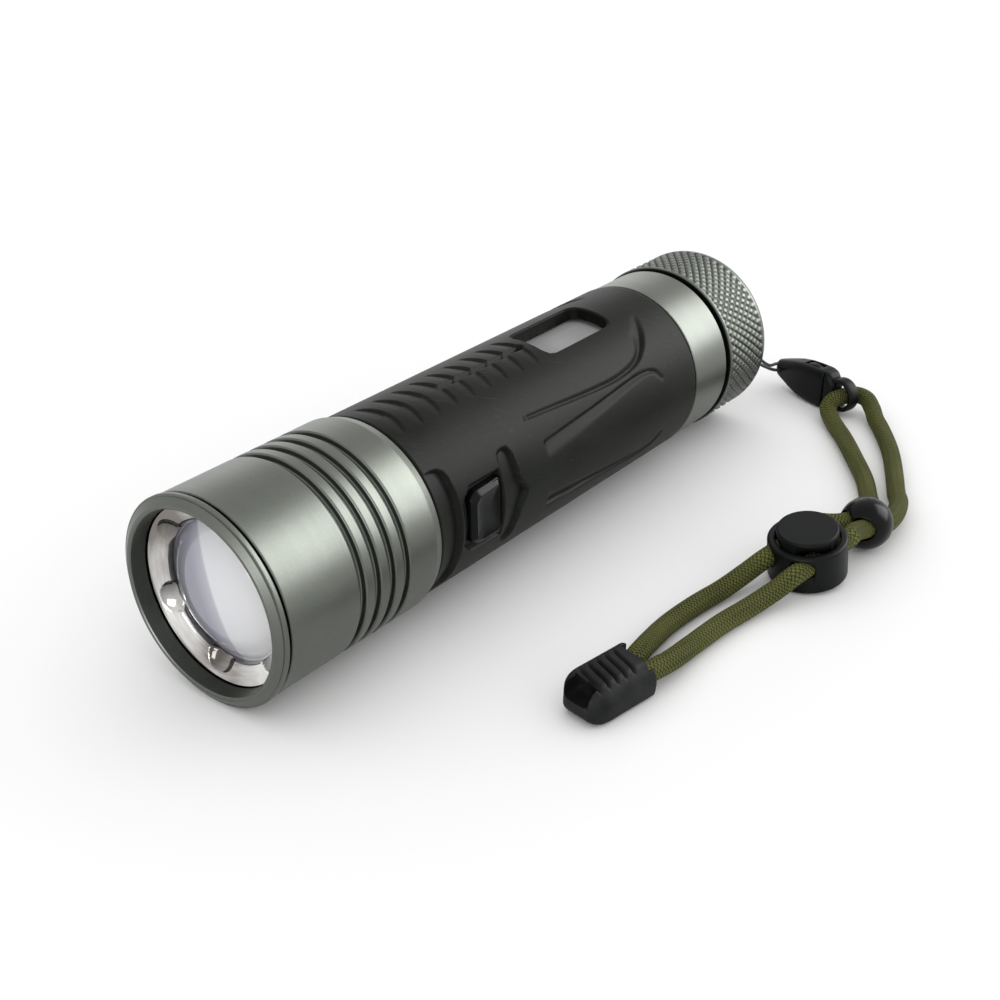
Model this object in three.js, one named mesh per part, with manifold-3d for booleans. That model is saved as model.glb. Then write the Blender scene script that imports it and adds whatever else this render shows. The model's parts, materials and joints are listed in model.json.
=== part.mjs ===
// A zoom torch with a moulded grip, a side button, a knurled tail cap and a cord lanyard.
// The torch lies along Y with its lens towards -Y and its tail towards +Y, and +Z is up.
// Stations are millimetres along the torch from the front rim. All sizes are in millimetres.
import * as THREE from "three";
import { mergeVertices } from "three/addons/utils/BufferGeometryUtils.js";
import Module from "manifold-3d";

const wasm = await Module();
wasm.setup();

// Driving dimensions: outside
const HEAD_RADIUS = 20;
const BARREL_STEP = 0.2;
const GRIP_STEP = 0.9;
const REAR_TUBE_STEP = 0.2;
const CAP_STEP = 0.6;
const BEZEL_LENGTH = 1.9;
const REAR_TUBE_LENGTH = 12.2;
const CAP_LENGTH = 17.8;

// Driving dimensions: clearances
const FIT = 0.3;
const SLIDE_FIT = 0.25;
const CELL_FIT = 0.6;
const OVERRUN = 1;
const BEZEL_SEAM = 0.5;
const CAP_SEAM = 0.8;
const EDGE_CHAMFER = 0.4;

// Driving dimensions: head and optics
const BEZEL_RIM = 1.9;
const BEZEL_LIP_STEP = 0.9;
const BEZEL_LIP_DEPTH = 3.2;
const BEZEL_SKIRT_WALL = 0.7;
const LENS_RING_LENGTH = 2.7;
const LENS_STEP = 6.8;
const LENS_FLANGE_THICKNESS = 1.5;
const LENS_RISE = 5.2;
const LENS_SEAL_SECTION = 0.8;
const LENS_SEAT_WIDTH = 2.1;
const LENS_SEAT_THICKNESS = 1.2;
const BARREL_WALL = 2.5;
const BARREL_LIP_LENGTH = 7.6;
const GROOVE_COUNT = 4;
const GROOVE_WIDTH = 1.6;
const GROOVE_DEPTH = 1.2;
const GROOVE_PITCH = 3.76;
const LAST_GROOVE_TO_BACK = 9.2;
const BARREL_BACK_BEVEL = 2;
const BARREL_BACK_DROP = 0.6;

// Driving dimensions: zoom slide
const ZOOM_TRAVEL = 12;
const NECK_WALL = 2.2;
const LENS_TO_NECK = 5.6;
const NECK_FLANGE_LENGTH = 5.6;
const NECK_FLANGE_STEP = 0.6;
const NECK_SPIGOT_LENGTH = 6;
const NECK_SOCKET_WALL = 1.4;
const ZOOM_RING_SECTION = 0.8;

// Driving dimensions: light engine
const PILL_LENGTH = 8;
const PILL_WALL = 5;
const LED_BOARD_MARGIN = 4.2;
const LED_BOARD_THICKNESS = 1.6;
const LED_BASE = 5;
const LED_BASE_HEIGHT = 0.8;
const LED_DOME_RADIUS = 2.1;
const DRIVER_THICKNESS = 1.2;
const DRIVER_COIL_RADIUS = 3;
const DRIVER_COIL_HEIGHT = 3;

// Driving dimensions: battery tube and cell
const GRIP_WALL = 2.5;
const TUBE_WALL = 2.6;
const ELECTRONICS_STEP = 2.5;
const CELL_LENGTH = 65.2;
const SWITCH_BAY = 30.7;
const CELL_OVERHANG = 9.2;
const CELL_TIP_RADIUS = 4;
const CELL_TIP_HEIGHT = 1.2;
const CONTACT_BOARD_THICKNESS = 1.6;
const CONTACT_RADIUS = 3;
const CONTACT_HEIGHT = 1.5;
const WINDOW_FLAT_DEPTH = 0.9;
const SPIGOT_STEP = 2.5;
const SPIGOT_END_GAP = 2;
const TAIL_SEAL_SECTION = 0.65;

// Driving dimensions: tail
const CAP_FRONT_LIP = 1.9;
const CAP_BACK_ROUND = 2.4;
const CAP_END_WALL = 5.6;
const CAP_RIM = 6;
const CAP_DISH_DEPTH = 1.2;
const KNURL_DEPTH = 0.5;
const KNURL_COUNT = 44;
const KNURL_ROWS = 5;
const SPRING_RADIUS = 6;
const SPRING_WIRE = 1.1;
const SPRING_TURNS = 5;
const SPRING_SEAT_RADIUS = 8.5;
const SPRING_SEAT_THICKNESS = 0.8;
const EYELET_ANGLE = 102;
const EYELET_INSET = 4.8;
const EYELET_BEND = 1.3;
const EYELET_HOLE = 0.7;

// Driving dimensions: grip details, with arc lengths measured on the grip's surface
const TOP_ANGLE = 4.3;
const SIDE_ANGLE = 88.5;
const GRIP_BACK_ROUND = 1.8;
const GRIP_BACK_DROP = 0.9;
const WINDOW_TO_BACK = 16.5;
const WINDOW_LENGTH = 22;
const WINDOW_HALF_ARC = 5.7;
const WINDOW_CORNER = 2.6;
const SLOT_TO_WINDOW = 2.3;
const SLOT_LENGTH = 26;
const SLOT_WIDTH = 1.4;
const SLOT_DEPTH = 1.8;
const RIB_SETBACK = 5.1;
const RIB_PITCH = 5.03;
const RIB_HALF_ARC = 6;
const RIB_BOW = 1.7;
const RIB_RAMP = 2.8;
const RIB_STEP = 0.35;
const RIB_DEPTH = 0.7;
const CREASE_DEPTH = 0.6;

// Driving dimensions: side button and switch
const RECESS_SETBACK = 6.5;
const RECESS_LENGTH = 11.8;
const RECESS_HALF_WIDTH = 7.2;
const RECESS_DEPTH = 1.3;
const SCOOP_HALF_ARC = 13.2;
const SCOOP_TO_RECESS = 0.8;
const ARROW_REACH = 6.8;
const ARROW_HALF_ARC = 10.5;
const BUTTON_SETBACK = 2.6;
const BUTTON_LENGTH = 8.5;
const BUTTON_HALF_WIDTH = 5.9;
const BUTTON_PROUD = 0.2;
const BUTTON_SHOULDER = 1;
const BUTTON_DISH = 14;
const BUTTON_TRAVEL = 0.7;
const SWITCH_POCKET_STEP = 1;
const SWITCH_POCKET_LENGTH = 11;
const SWITCH_POCKET_WIDTH = 9;
const SWITCH_BOARD_THICKNESS = 1;
const SWITCH_BODY = 5;
const SWITCH_BODY_HEIGHT = 2.2;
const PLUNGER_RADIUS = 0.8;
const PLUNGER_LENGTH = 1.2;

// Driving dimensions: lanyard
const FLOOR_GAP = 0.1;
const CORD_RADIUS = 2;
const THREAD_RADIUS = 0.4;
const BUCKLE_PLACE = [11.2, 22.95];
const BUCKLE_TURN = -16.4;
const BUCKLE_HALF_HEIGHT = 4.9;
const BUCKLE_HALF_THICKNESS = 2.8;
const BUCKLE_SOCKET_LENGTH = 17;
const BUCKLE_CAVITY_SHARE = 0.36;
const BUCKLE_NOSE_HALF_HEIGHT = 2.3;
const BUCKLE_WALL = 1.1;
const BUCKLE_EYE_RADIUS = 4.2;
const BUCKLE_EYE_CENTRE = 21.5;
const EYE_THICKNESS_SHARE = 0.6;
const NOSE_HOLE = 0.8;
const NOSE_HOLE_PLACE = 1.7;
const BEAD_PLACE = [65.4, -38.55, 5.55];
const BEAD_TILT = -11.8;
const BEAD_TURN = -11.6;
const BEAD_RADIUS = 5.45;
const BEAD_STRAND_OFFSET = 2.15;
const BEAD_MOUTH_FLARE = 0.3;
const BEAD_WAIST = 3.6;
const LOCK_PLACE = [61.8, -56.15];
const LOCK_TILT = 8;
const LOCK_TURN = -11.5;
const LOCK_RADIUS = 7.9;
const LOCK_HEIGHT = 8.4;
const LOCK_WALL = 1.5;
const LOCK_FLOOR = 0.8;
const LOCK_BUTTON_RISE = 2.1;
const LOCK_STRAND_OFFSET = 3.9;
const LOCK_STRAND_HEIGHT = 5.5;
const LOCK_TRAVEL = 1.2;
const LOCK_SPRING_RADIUS = 0.95;
const LOCK_SPRING_WIRE = 0.3;
const LOCK_SPRING_TURNS = 5;
const CLIP_PLACE = [53.8, -124.15];
const CLIP_TURN = -8.7;
const CLIP_LENGTH = 15.8;
const CLIP_WIDTH = 9.8;
const CLIP_HEIGHT = 7.8;
const CLIP_GROOVES = 5;
const CLIP_GROOVE = 0.6;
const CLIP_GROOVE_PITCH = 2.15;
const CLIP_FIRST_GROOVE = 3.7;
const CLIP_MOUTH = 1.6;
const CLIP_HOLLOW_LENGTH = 2.4;
const CLIP_HOLLOW_WIDTH = 5.6;
const CLIP_HOLLOW_DEPTH = 3.6;
const CLIP_CHANNEL_LENGTH = 9.5;
const CLIP_STRAND_OFFSET = 2.12;

// Where the thread goes round the buckle's nose, and the cord's path over the floor. Like every place
// of the lanyard, the points start from the torch's tail: [sideways, behind the tail, height].
const THREAD_AROUND_NOSE = [
  [10.6, 12.45, 10.6],
  [9.7, 20.85, 5.4],
  [9.9, 23.35, 5],
  [10.6, 24.85, 5],
  [12.1, 25.55, 5],
  [13.2, 24.85, 5],
  [12.85, 22.55, 5],
  [12.2, 20.35, 5],
  [12.7, 11.45, 9.3],
];
const CORD_POINTS = [
  [57.1, -116.55, 4],
  [57.7, -112.55, 4],
  [58.35, -108.65, 4],
  [58.9, -103.05, 3.4],
  [58.6, -94.45, 2.3],
  [59.1, -84.65, 2.15],
  [60.4, -76.55, 2.3],
  [62.3, -69.95, 3.7],
  [63.7, -66.45, 5.4],
  [64.3, -63.45, 5.8],
  [66.65, -51.95, 7.5],
  [67.05, -49.95, 7.8],
  [66.5, -47.35, 7.35],
  [66.35, -44.65, 6.75],
  [67.5, -38.95, 5.55],
  [68.7, -33.25, 4.3],
  [67.6, -27.15, 2.8],
  [65.2, -22.15, 2.3],
  [63, -18.55, 2.15],
  [58.2, -8.75, 2.1],
  [52.6, 1.35, 2.1],
  [46.1, 10.85, 2.2],
  [42.2, 15.35, 2.8],
  [39.4, 18.65, 4],
  [36.8, 20.35, 4.9],
  [34.4, 20.35, 5],
  [32.8, 18.95, 5],
  [31.9, 16.85, 5],
  [31, 14.25, 4.9],
  [31, 11.65, 3.8],
  [33.4, 8.65, 2.3],
  [40.9, 0.65, 2.1],
  [47.8, -7.55, 2.1],
  [54.2, -15.55, 2.1],
  [59, -23.35, 2.3],
  [61.8, -27.55, 3],
  [64.45, -32.35, 4.3],
  [63.3, -38.15, 5.55],
  [62.1, -43.85, 6.75],
  [60.9, -46.35, 7.35],
  [59.4, -48.35, 7.8],
  [59, -50.35, 7.5],
  [56.65, -61.85, 5.8],
  [56.05, -64.85, 5.4],
  [54.8, -68.15, 4],
  [53.1, -74.35, 2.4],
  [51.8, -82.45, 2.15],
  [51.3, -91.25, 2.15],
  [52.3, -98.85, 2.9],
  [53.5, -104.15, 3.8],
  [54.15, -108.15, 4],
  [53.5, -111.95, 4],
  [52.9, -115.95, 4],
];

const RING_SEGMENTS = 32;
const INNER_SEGMENTS = 24;
const SMALL_SEGMENTS = 16;

// Radii, each from the one outside it
const barrelRadius = HEAD_RADIUS - BARREL_STEP;
const gripRadius = HEAD_RADIUS - GRIP_STEP;
const rearTubeRadius = gripRadius - REAR_TUBE_STEP;
const capRadius = HEAD_RADIUS - CAP_STEP;
const bezelMouth = HEAD_RADIUS - BEZEL_RIM;
const bezelLip = bezelMouth - BEZEL_LIP_STEP;
const lensPocket = bezelMouth + BEZEL_SKIRT_WALL;
const skirtOuter = lensPocket - FIT;
const skirtInner = skirtOuter - BEZEL_SKIRT_WALL;
const ringOuter = skirtInner - FIT;
const lensOuter = ringOuter;
const lensRadius = HEAD_RADIUS - LENS_STEP;
const barrelBore = barrelRadius - BARREL_WALL;
const neckFlange = barrelBore - SLIDE_FIT;
const neckRadius = neckFlange - NECK_FLANGE_STEP;
const neckBore = neckRadius - NECK_WALL;
const lipBore = neckRadius + SLIDE_FIT;
const gripBore = gripRadius - GRIP_WALL;
const tubeRadius = gripBore - FIT;
const neckSpigotRadius = tubeRadius - NECK_SOCKET_WALL - FIT;
const cellBore = tubeRadius - TUBE_WALL;
const cellRadius = cellBore - CELL_FIT;
const electronicsBore = cellBore - ELECTRONICS_STEP;
const spigotRadius = rearTubeRadius - SPIGOT_STEP;
const capBore = spigotRadius + FIT;

// Stations along the torch, from the front rim back
const bezelBack = BEZEL_LENGTH;
const barrelFront = bezelBack + BEZEL_SEAM;
const ringFront = BEZEL_LIP_DEPTH + FIT;
const ringBack = ringFront + LENS_RING_LENGTH;
const flangeFront = ringBack + FIT;
const flangeBack = flangeFront + LENS_FLANGE_THICKNESS;
const lensSealStation = flangeBack + FIT / 2 + LENS_SEAL_SECTION;
const pocketBack = lensSealStation + LENS_SEAL_SECTION + FIT / 2;
const neckFront = pocketBack + LENS_TO_NECK;
const neckFlangeBack = neckFront + NECK_FLANGE_LENGTH;
const barrelBack = neckFlangeBack + ZOOM_TRAVEL + FIT + BARREL_LIP_LENGTH;
const gripFront = barrelBack + FIT;
const recessStation = gripFront + RECESS_SETBACK;
const buttonStation = recessStation + BUTTON_SETBACK;
const cellStation = gripFront + SWITCH_BAY;
const cellBack = cellStation + CELL_LENGTH;
const gripBack = cellBack - CELL_OVERHANG;
const gripLength = gripBack - gripFront;
const windowStation = gripBack - WINDOW_TO_BACK - WINDOW_LENGTH;
const slotStation = windowStation - SLOT_TO_WINDOW - SLOT_LENGTH;
const ribStation = gripFront + RIB_SETBACK;
const ribCount = 1 + Math.floor((windowStation - ribStation) / RIB_PITCH);
const rearTubeBack = gripBack + FIT + REAR_TUBE_LENGTH;
const capFront = rearTubeBack + CAP_SEAM;
const capBack = capFront + CAP_LENGTH;
const capInside = capBack - CAP_END_WALL;
const tubeBack = capInside - SPIGOT_END_GAP;

// Joining, cutting and placing solids
function toSolid(geometry) {
  const bare = geometry.index ? geometry.clone() : geometry;
  for (const name of Object.keys(bare.attributes)) if (name !== "position") bare.deleteAttribute(name);
  const merged = mergeVertices(bare);
  const corners = merged.index.array;
  const kept = [];
  for (let i = 0; i < corners.length; i += 3) {
    const [a, b, c] = [corners[i], corners[i + 1], corners[i + 2]];
    if (a !== b && b !== c && c !== a) kept.push(a, b, c);
  }
  const build = (triVerts) =>
    new wasm.Manifold(
      new wasm.Mesh({ numProp: 3, vertProperties: merged.attributes.position.array, triVerts }),
    );
  const made = build(Uint32Array.from(kept));
  return made.volume() < 0 ? build(Uint32Array.from(kept.reverse())) : made;
}

function toGeometry(solid) {
  const mesh = solid.getMesh();
  const geometry = new THREE.BufferGeometry();
  geometry.setAttribute("position", new THREE.BufferAttribute(mesh.vertProperties, mesh.numProp));
  geometry.setIndex(new THREE.BufferAttribute(mesh.triVerts, 1));
  geometry.computeVertexNormals();
  return geometry;
}

const cutAll = (solid, cutters) => cutters.reduce((left, cutter) => left.subtract(cutter), solid);
const joinAll = (solids) => solids.reduce((whole, piece) => whole.add(piece));

// Solids of revolution about the torch's axis, from [radius, station] points
function revolved(points, segments = RING_SEGMENTS) {
  const closed = points[0][0] > 0 ? [...points, points[0]] : points;
  const profile = closed.map(([radius, station]) => new THREE.Vector2(radius, station));
  return new THREE.LatheGeometry(profile, segments);
}
const revolve = (points, segments) => toSolid(revolved(points, segments));
const sleeve = (inner, outer, front, back) =>
  revolve([[inner, front], [outer, front], [outer, back], [inner, back]]);
const plug = (radius, front, back, segments) =>
  revolve([[0, front], [radius, front], [radius, back], [0, back]], segments);

// A ring of round section, such as a seal, in the plane of its station
function sealRing(centreRadius, section, station) {
  const ring = new THREE.TorusGeometry(centreRadius, section, 6, INNER_SEGMENTS);
  return toSolid(ring.rotateX(Math.PI / 2).translate(0, station, 0));
}

const toShape = (outline) => {
  if (outline instanceof THREE.Shape) return outline;
  return new THREE.Shape(outline.map(([x, y]) => new THREE.Vector2(x, y)));
};

// A prism over an outline of [x, station] points, standing out from the axis at an angle from up
function radialPrism(outline, innerRadius, outerRadius, angle) {
  const prism = new THREE.ExtrudeGeometry(toShape(outline), {
    depth: outerRadius - innerRadius,
    bevelEnabled: false,
    curveSegments: 5,
  });
  return toSolid(prism.translate(0, 0, innerRadius).rotateY(THREE.MathUtils.degToRad(angle)));
}

// The straight distance from a feature's centre line that an arc length on the grip reaches
const chord = (arc) => gripRadius * Math.sin(arc / gripRadius);

// An outline mirrored about its centre line, from the points on its positive side
const mirrored = (half) => [...half, ...half.filter(([x]) => x > 0).reverse().map(([x, y]) => [-x, y])];

function roundedBox(width, length, corner, x = 0, y = 0) {
  const shape = new THREE.Shape();
  const [left, right, low, high] = [x - width / 2, x + width / 2, y - length / 2, y + length / 2];
  shape.moveTo(left + corner, low).lineTo(right - corner, low);
  shape.absarc(right - corner, low + corner, corner, -Math.PI / 2, 0);
  shape.lineTo(right, high - corner).absarc(right - corner, high - corner, corner, 0, Math.PI / 2);
  shape.lineTo(left + corner, high).absarc(left + corner, high - corner, corner, Math.PI / 2, Math.PI);
  shape.lineTo(left, low + corner).absarc(left + corner, low + corner, corner, Math.PI, 1.5 * Math.PI);
  return shape;
}

// A skin over rings of points that have the same count, with flat ends or closed on itself
function loft(rings, closed = false) {
  const count = rings[0].length;
  const positions = rings.flat().flatMap((p) => [p.x, p.y, p.z]);
  const faces = [];
  for (let r = 0; r + (closed ? 0 : 1) < rings.length; r++) {
    const [near, far] = [r * count, ((r + 1) % rings.length) * count];
    for (let i = 0; i < count; i++) {
      const j = (i + 1) % count;
      faces.push(near + i, near + j, far + j, near + i, far + j, far + i);
    }
  }
  const last = (rings.length - 1) * count;
  if (!closed) for (let i = 1; i + 1 < count; i++) faces.push(0, i + 1, i, last, last + i, last + i + 1);
  const geometry = new THREE.BufferGeometry();
  geometry.setAttribute("position", new THREE.Float32BufferAttribute(positions, 3));
  geometry.setIndex(faces);
  return geometry;
}

// A point on a cylinder about the torch's axis, at an arc length from a centre angle
function onGrip(station, arc, radius, angle) {
  const turn = THREE.MathUtils.degToRad(angle) + arc / gripRadius;
  return new THREE.Vector3(radius * Math.sin(turn), station, radius * Math.cos(turn));
}

// A V groove along a path of [station, arc] points. Each step is { at, before, after, depth }, where
// before and after are the groove's widths on either side of its deepest line.
function gripGroove(steps, angle) {
  const rings = steps.map((step, i) => {
    const from = steps[Math.max(0, i - 1)].at;
    const to = steps[Math.min(steps.length - 1, i + 1)].at;
    const along = new THREE.Vector2(to[0] - from[0], to[1] - from[1]).normalize();
    const across = [-along.y, along.x];
    const rise = 1 + OVERRUN / step.depth;
    const edge = (width) => {
      const [station, arc] = step.at.map((place, k) => place + across[k] * width * rise);
      return onGrip(station, arc, gripRadius + OVERRUN, angle);
    };
    return [edge(-step.before), onGrip(...step.at, gripRadius - step.depth, angle), edge(step.after)];
  });
  return toSolid(loft(rings));
}

// A round tube through a list of points, with the same number of steps between each two
function tube(points, radius, sides, perSpan, closed = false) {
  const curve = new THREE.CatmullRomCurve3(points, closed, "centripetal");
  const count = perSpan * (closed ? points.length : points.length - 1);
  const normal = new THREE.Vector3(0, 0, 1);
  const rings = Array.from({ length: closed ? count : count + 1 }, (_, i) => {
    const centre = curve.getPoint(i / count);
    const along = curve.getTangent(i / count);
    normal.addScaledVector(along, -normal.dot(along)).normalize();
    const across = new THREE.Vector3().crossVectors(along, normal);
    return Array.from({ length: sides }, (_, k) => {
      const turn = (2 * Math.PI * k) / sides;
      const out = normal.clone().multiplyScalar(Math.cos(turn)).addScaledVector(across, Math.sin(turn));
      return centre.clone().addScaledVector(out, radius);
    });
  });
  return loft(rings, closed);
}

// An open compression spring about the local Y axis, as one unbroken tube
class Helix extends THREE.Curve {
  constructor(radius, length, turns) {
    super();
    Object.assign(this, { radius, length, turns });
  }
  getPoint(t, target = new THREE.Vector3()) {
    const turn = 2 * Math.PI * this.turns * t;
    return target.set(this.radius * Math.cos(turn), this.length * t, this.radius * Math.sin(turn));
  }
}

function spring(radius, wire, length, turns) {
  const helix = new Helix(radius - wire / 2, length - wire, turns);
  const frames = Array.from({ length: 8 * turns + 1 }, (_, i) => {
    const t = i / (8 * turns);
    const centre = helix.getPoint(t);
    const out = new THREE.Vector3(centre.x, 0, centre.z).normalize();
    const up = new THREE.Vector3().crossVectors(helix.getTangent(t), out).normalize();
    return Array.from({ length: 5 }, (_, k) => {
      const turn = (2 * Math.PI * k) / 5;
      return centre
        .clone()
        .addScaledVector(out, (wire / 2) * Math.cos(turn))
        .addScaledVector(up, (wire / 2) * Math.sin(turn));
    });
  });
  return loft(frames).translate(0, wire / 2, 0);
}

// Finishes
const finish = (color, roughness, metalness) => new THREE.MeshStandardMaterial({ color, roughness, metalness });
const finishes = {
  gunmetal: () => finish(0x7b807a, 0.4, 0.9),
  grip: () => finish(0x32322f, 0.7, 0),
  seal: () => finish(0x121212, 0.8, 0),
  mirror: () => finish(0xd8d8d6, 0.1, 1),
  glass: () => finish(0xe6e8ef, 0.05, 0),
  brass: () => finish(0xc8a85a, 0.3, 1),
  aluminium: () => finish(0xb8bab8, 0.4, 1),
  board: () => finish(0x1f5a3a, 0.6, 0),
  whiteBoard: () => finish(0xe4e4de, 0.6, 0),
  phosphor: () => finish(0xe8c832, 0.5, 0),
  cell: () => finish(0x4a5a66, 0.4, 0),
  plastic: () => finish(0x17191a, 0.45, 0),
  cord: () => finish(0x626834, 0.9, 0),
  thread: () => finish(0x141414, 0.8, 0),
};

const torch = new THREE.Group();
torch.position.set(0, -capBack / 2, HEAD_RADIUS);

function piece(name, shape, material, parent = torch) {
  const geometry = shape.isBufferGeometry ? toGeometry(toSolid(shape)) : toGeometry(shape);
  const mesh = new THREE.Mesh(geometry, finishes[material]());
  mesh.name = name;
  parent.add(mesh);
  return mesh;
}

// Head: bezel, seals, lens and its ring
function makeBezel() {
  const skirtBack = flangeBack;
  return revolve([
    [bezelMouth, 0],
    [HEAD_RADIUS - EDGE_CHAMFER, 0],
    [HEAD_RADIUS, EDGE_CHAMFER],
    [HEAD_RADIUS, bezelBack],
    [skirtOuter, bezelBack],
    [skirtOuter, skirtBack],
    [skirtInner, skirtBack],
    [skirtInner, BEZEL_LIP_DEPTH],
    [bezelLip, BEZEL_LIP_DEPTH],
  ]);
}

function makeBezelSeal() {
  const sealOuter = barrelRadius - EDGE_CHAMFER;
  return sleeve(lensPocket + FIT / 2, sealOuter, bezelBack + FIT / 3, barrelFront - FIT / 3);
}

// The polished ring slopes down towards the lens
function makeLensRing() {
  const innerEdge = lensRadius + FIT;
  return revolve([
    [innerEdge, ringBack - LENS_RING_LENGTH / 3],
    [innerEdge + EDGE_CHAMFER, ringBack - LENS_RING_LENGTH / 2],
    [ringOuter - EDGE_CHAMFER, ringFront],
    [ringOuter, ringFront + EDGE_CHAMFER],
    [ringOuter, ringBack],
    [innerEdge, ringBack],
  ]);
}

// A convex lens with a flat flange: the dome is a spherical cap
function makeLens() {
  const curvature = (lensRadius ** 2 + LENS_RISE ** 2) / (2 * LENS_RISE);
  const apex = flangeFront - LENS_RISE;
  const steps = 6;
  const halfAngle = Math.asin(lensRadius / curvature);
  const dome = Array.from({ length: steps + 1 }, (_, i) => {
    const turn = (halfAngle * i) / steps;
    return [curvature * Math.sin(turn), apex + curvature * (1 - Math.cos(turn))];
  });
  return revolve([...dome, [lensOuter, flangeFront], [lensOuter, flangeBack], [0, flangeBack]]);
}

function makeBarrel() {
  const lastGrooveBack = barrelBack - LAST_GROOVE_TO_BACK;
  const grooves = Array.from({ length: GROOVE_COUNT }, (_, i) => {
    const back = lastGrooveBack - (GROOVE_COUNT - 1 - i) * GROOVE_PITCH;
    const front = back - GROOVE_WIDTH;
    const floor = barrelRadius - GROOVE_DEPTH;
    return [
      [barrelRadius, front],
      [floor, front],
      [floor, back],
      [barrelRadius, back],
    ];
  }).flat();
  const lipFront = barrelBack - BARREL_LIP_LENGTH;
  const seatBack = pocketBack + LENS_SEAT_THICKNESS;
  return revolve([
    [lensPocket, barrelFront],
    [barrelRadius - EDGE_CHAMFER, barrelFront],
    [barrelRadius, barrelFront + EDGE_CHAMFER],
    ...grooves,
    [barrelRadius, barrelBack - BARREL_BACK_BEVEL],
    [barrelRadius - BARREL_BACK_DROP, barrelBack],
    [lipBore, barrelBack],
    [lipBore, lipFront],
    [barrelBore, lipFront],
    [barrelBore, seatBack],
    [barrelBore - LENS_SEAT_WIDTH, seatBack],
    [barrelBore - LENS_SEAT_WIDTH, pocketBack],
    [lensPocket, pocketBack],
  ]);
}

piece("bezel_ring", makeBezel(), "gunmetal");
piece("bezel_seal", makeBezelSeal(), "seal");
piece("lens_ring", makeLensRing(), "mirror");
piece("lens", makeLens(), "glass");
piece("lens_seal", sealRing(lensOuter - LENS_SEAL_SECTION, LENS_SEAL_SECTION, lensSealStation), "seal");
piece("head_barrel", makeBarrel(), "gunmetal");

// Neck: the tube that the head slides on, with its friction ring
const neckShoulder = gripFront + FIT;
const spigotBack = neckShoulder + NECK_SPIGOT_LENGTH;
const zoomRingStation = neckFront + NECK_FLANGE_LENGTH / 2;
const zoomRingRadius = barrelBore - SLIDE_FIT / 2 - ZOOM_RING_SECTION;

function makeNeck() {
  const grooveFloor = zoomRingRadius - ZOOM_RING_SECTION - SLIDE_FIT / 2;
  const grooveHalf = ZOOM_RING_SECTION + FIT / 2;
  return revolve([
    [neckBore, neckFront],
    [neckFlange, neckFront],
    [neckFlange, zoomRingStation - grooveHalf],
    [grooveFloor, zoomRingStation - grooveHalf],
    [grooveFloor, zoomRingStation + grooveHalf],
    [neckFlange, zoomRingStation + grooveHalf],
    [neckFlange, neckFlangeBack],
    [neckRadius, neckFlangeBack],
    [neckRadius, neckShoulder - FIT],
    [neckSpigotRadius, neckShoulder - FIT],
    [neckSpigotRadius, spigotBack],
    [neckSpigotRadius - NECK_WALL, spigotBack],
    [neckSpigotRadius - NECK_WALL, neckShoulder - NECK_WALL],
    [neckBore, neckShoulder - NECK_WALL - (neckBore - neckSpigotRadius + NECK_WALL)],
  ], INNER_SEGMENTS);
}

piece("neck_tube", makeNeck(), "gunmetal");
piece("zoom_ring", sealRing(zoomRingRadius, ZOOM_RING_SECTION, zoomRingStation), "seal");

// Light engine: heat sink, LED on its board, and the driver behind them
const ledBoardFront = neckFlangeBack;
const ledBoardBack = ledBoardFront + LED_BOARD_THICKNESS;
const pillFront = ledBoardBack + FIT;
const pillBack = pillFront + PILL_LENGTH;
const driverFront = pillBack + FIT;
const ledBoardRadius = neckBore - LED_BOARD_MARGIN;
const pillRadius = neckBore - FIT;
const pillWell = pillRadius - PILL_WALL;
const driverRadius = neckBore - FIT;

function makeEmitter() {
  const base = new THREE.BoxGeometry(LED_BASE, LED_BASE_HEIGHT, LED_BASE);
  const baseCentre = ledBoardFront - FIT / 3 - LED_BASE_HEIGHT / 2;
  const dome = Array.from({ length: 6 }, (_, i) => {
    const turn = (Math.PI / 2) * (i / 5);
    return [LED_DOME_RADIUS * Math.sin(turn), baseCentre - LED_DOME_RADIUS * Math.cos(turn)];
  });
  return toSolid(base.translate(0, baseCentre, 0)).add(revolve([...dome, [0, baseCentre]], SMALL_SEGMENTS));
}

function makePill() {
  const wellDepth = PILL_LENGTH / 2;
  return revolve([
    [0, pillFront],
    [pillRadius, pillFront],
    [pillRadius, pillBack],
    [pillWell, pillBack],
    [pillWell, pillBack - wellDepth],
    [0, pillBack - wellDepth],
  ], INNER_SEGMENTS);
}

// The driver board carries its coil in the heat sink's well
function makeDriver() {
  const board = plug(driverRadius, driverFront, driverFront + DRIVER_THICKNESS, INNER_SEGMENTS);
  const coilBack = driverFront + DRIVER_THICKNESS / 2;
  return board.add(plug(DRIVER_COIL_RADIUS, driverFront - DRIVER_COIL_HEIGHT, coilBack, SMALL_SEGMENTS));
}

piece("led_board", plug(ledBoardRadius, ledBoardFront, ledBoardBack, INNER_SEGMENTS), "whiteBoard");
piece("led_emitter", makeEmitter(), "phosphor");
piece("heat_sink", makePill(), "aluminium");
piece("driver_board", makeDriver(), "board");

// Battery tube, with a flat under the grip's window and a pocket for the switch
const socketBack = spigotBack + FIT;
const contactTip = cellStation - CELL_TIP_HEIGHT - FIT;
const contactFront = contactTip - CONTACT_HEIGHT - CONTACT_BOARD_THICKNESS;
const contactBack = contactFront + CONTACT_BOARD_THICKNESS;
const tailSealStation = capFront + CAP_FRONT_LIP;
const tailSealRadius = capBore - FIT / 2 - TAIL_SEAL_SECTION;
const buttonCentre = buttonStation + BUTTON_LENGTH / 2;
const switchPocketFloor = electronicsBore + SWITCH_POCKET_STEP;
const buttonTop = gripRadius + BUTTON_PROUD;

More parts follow.
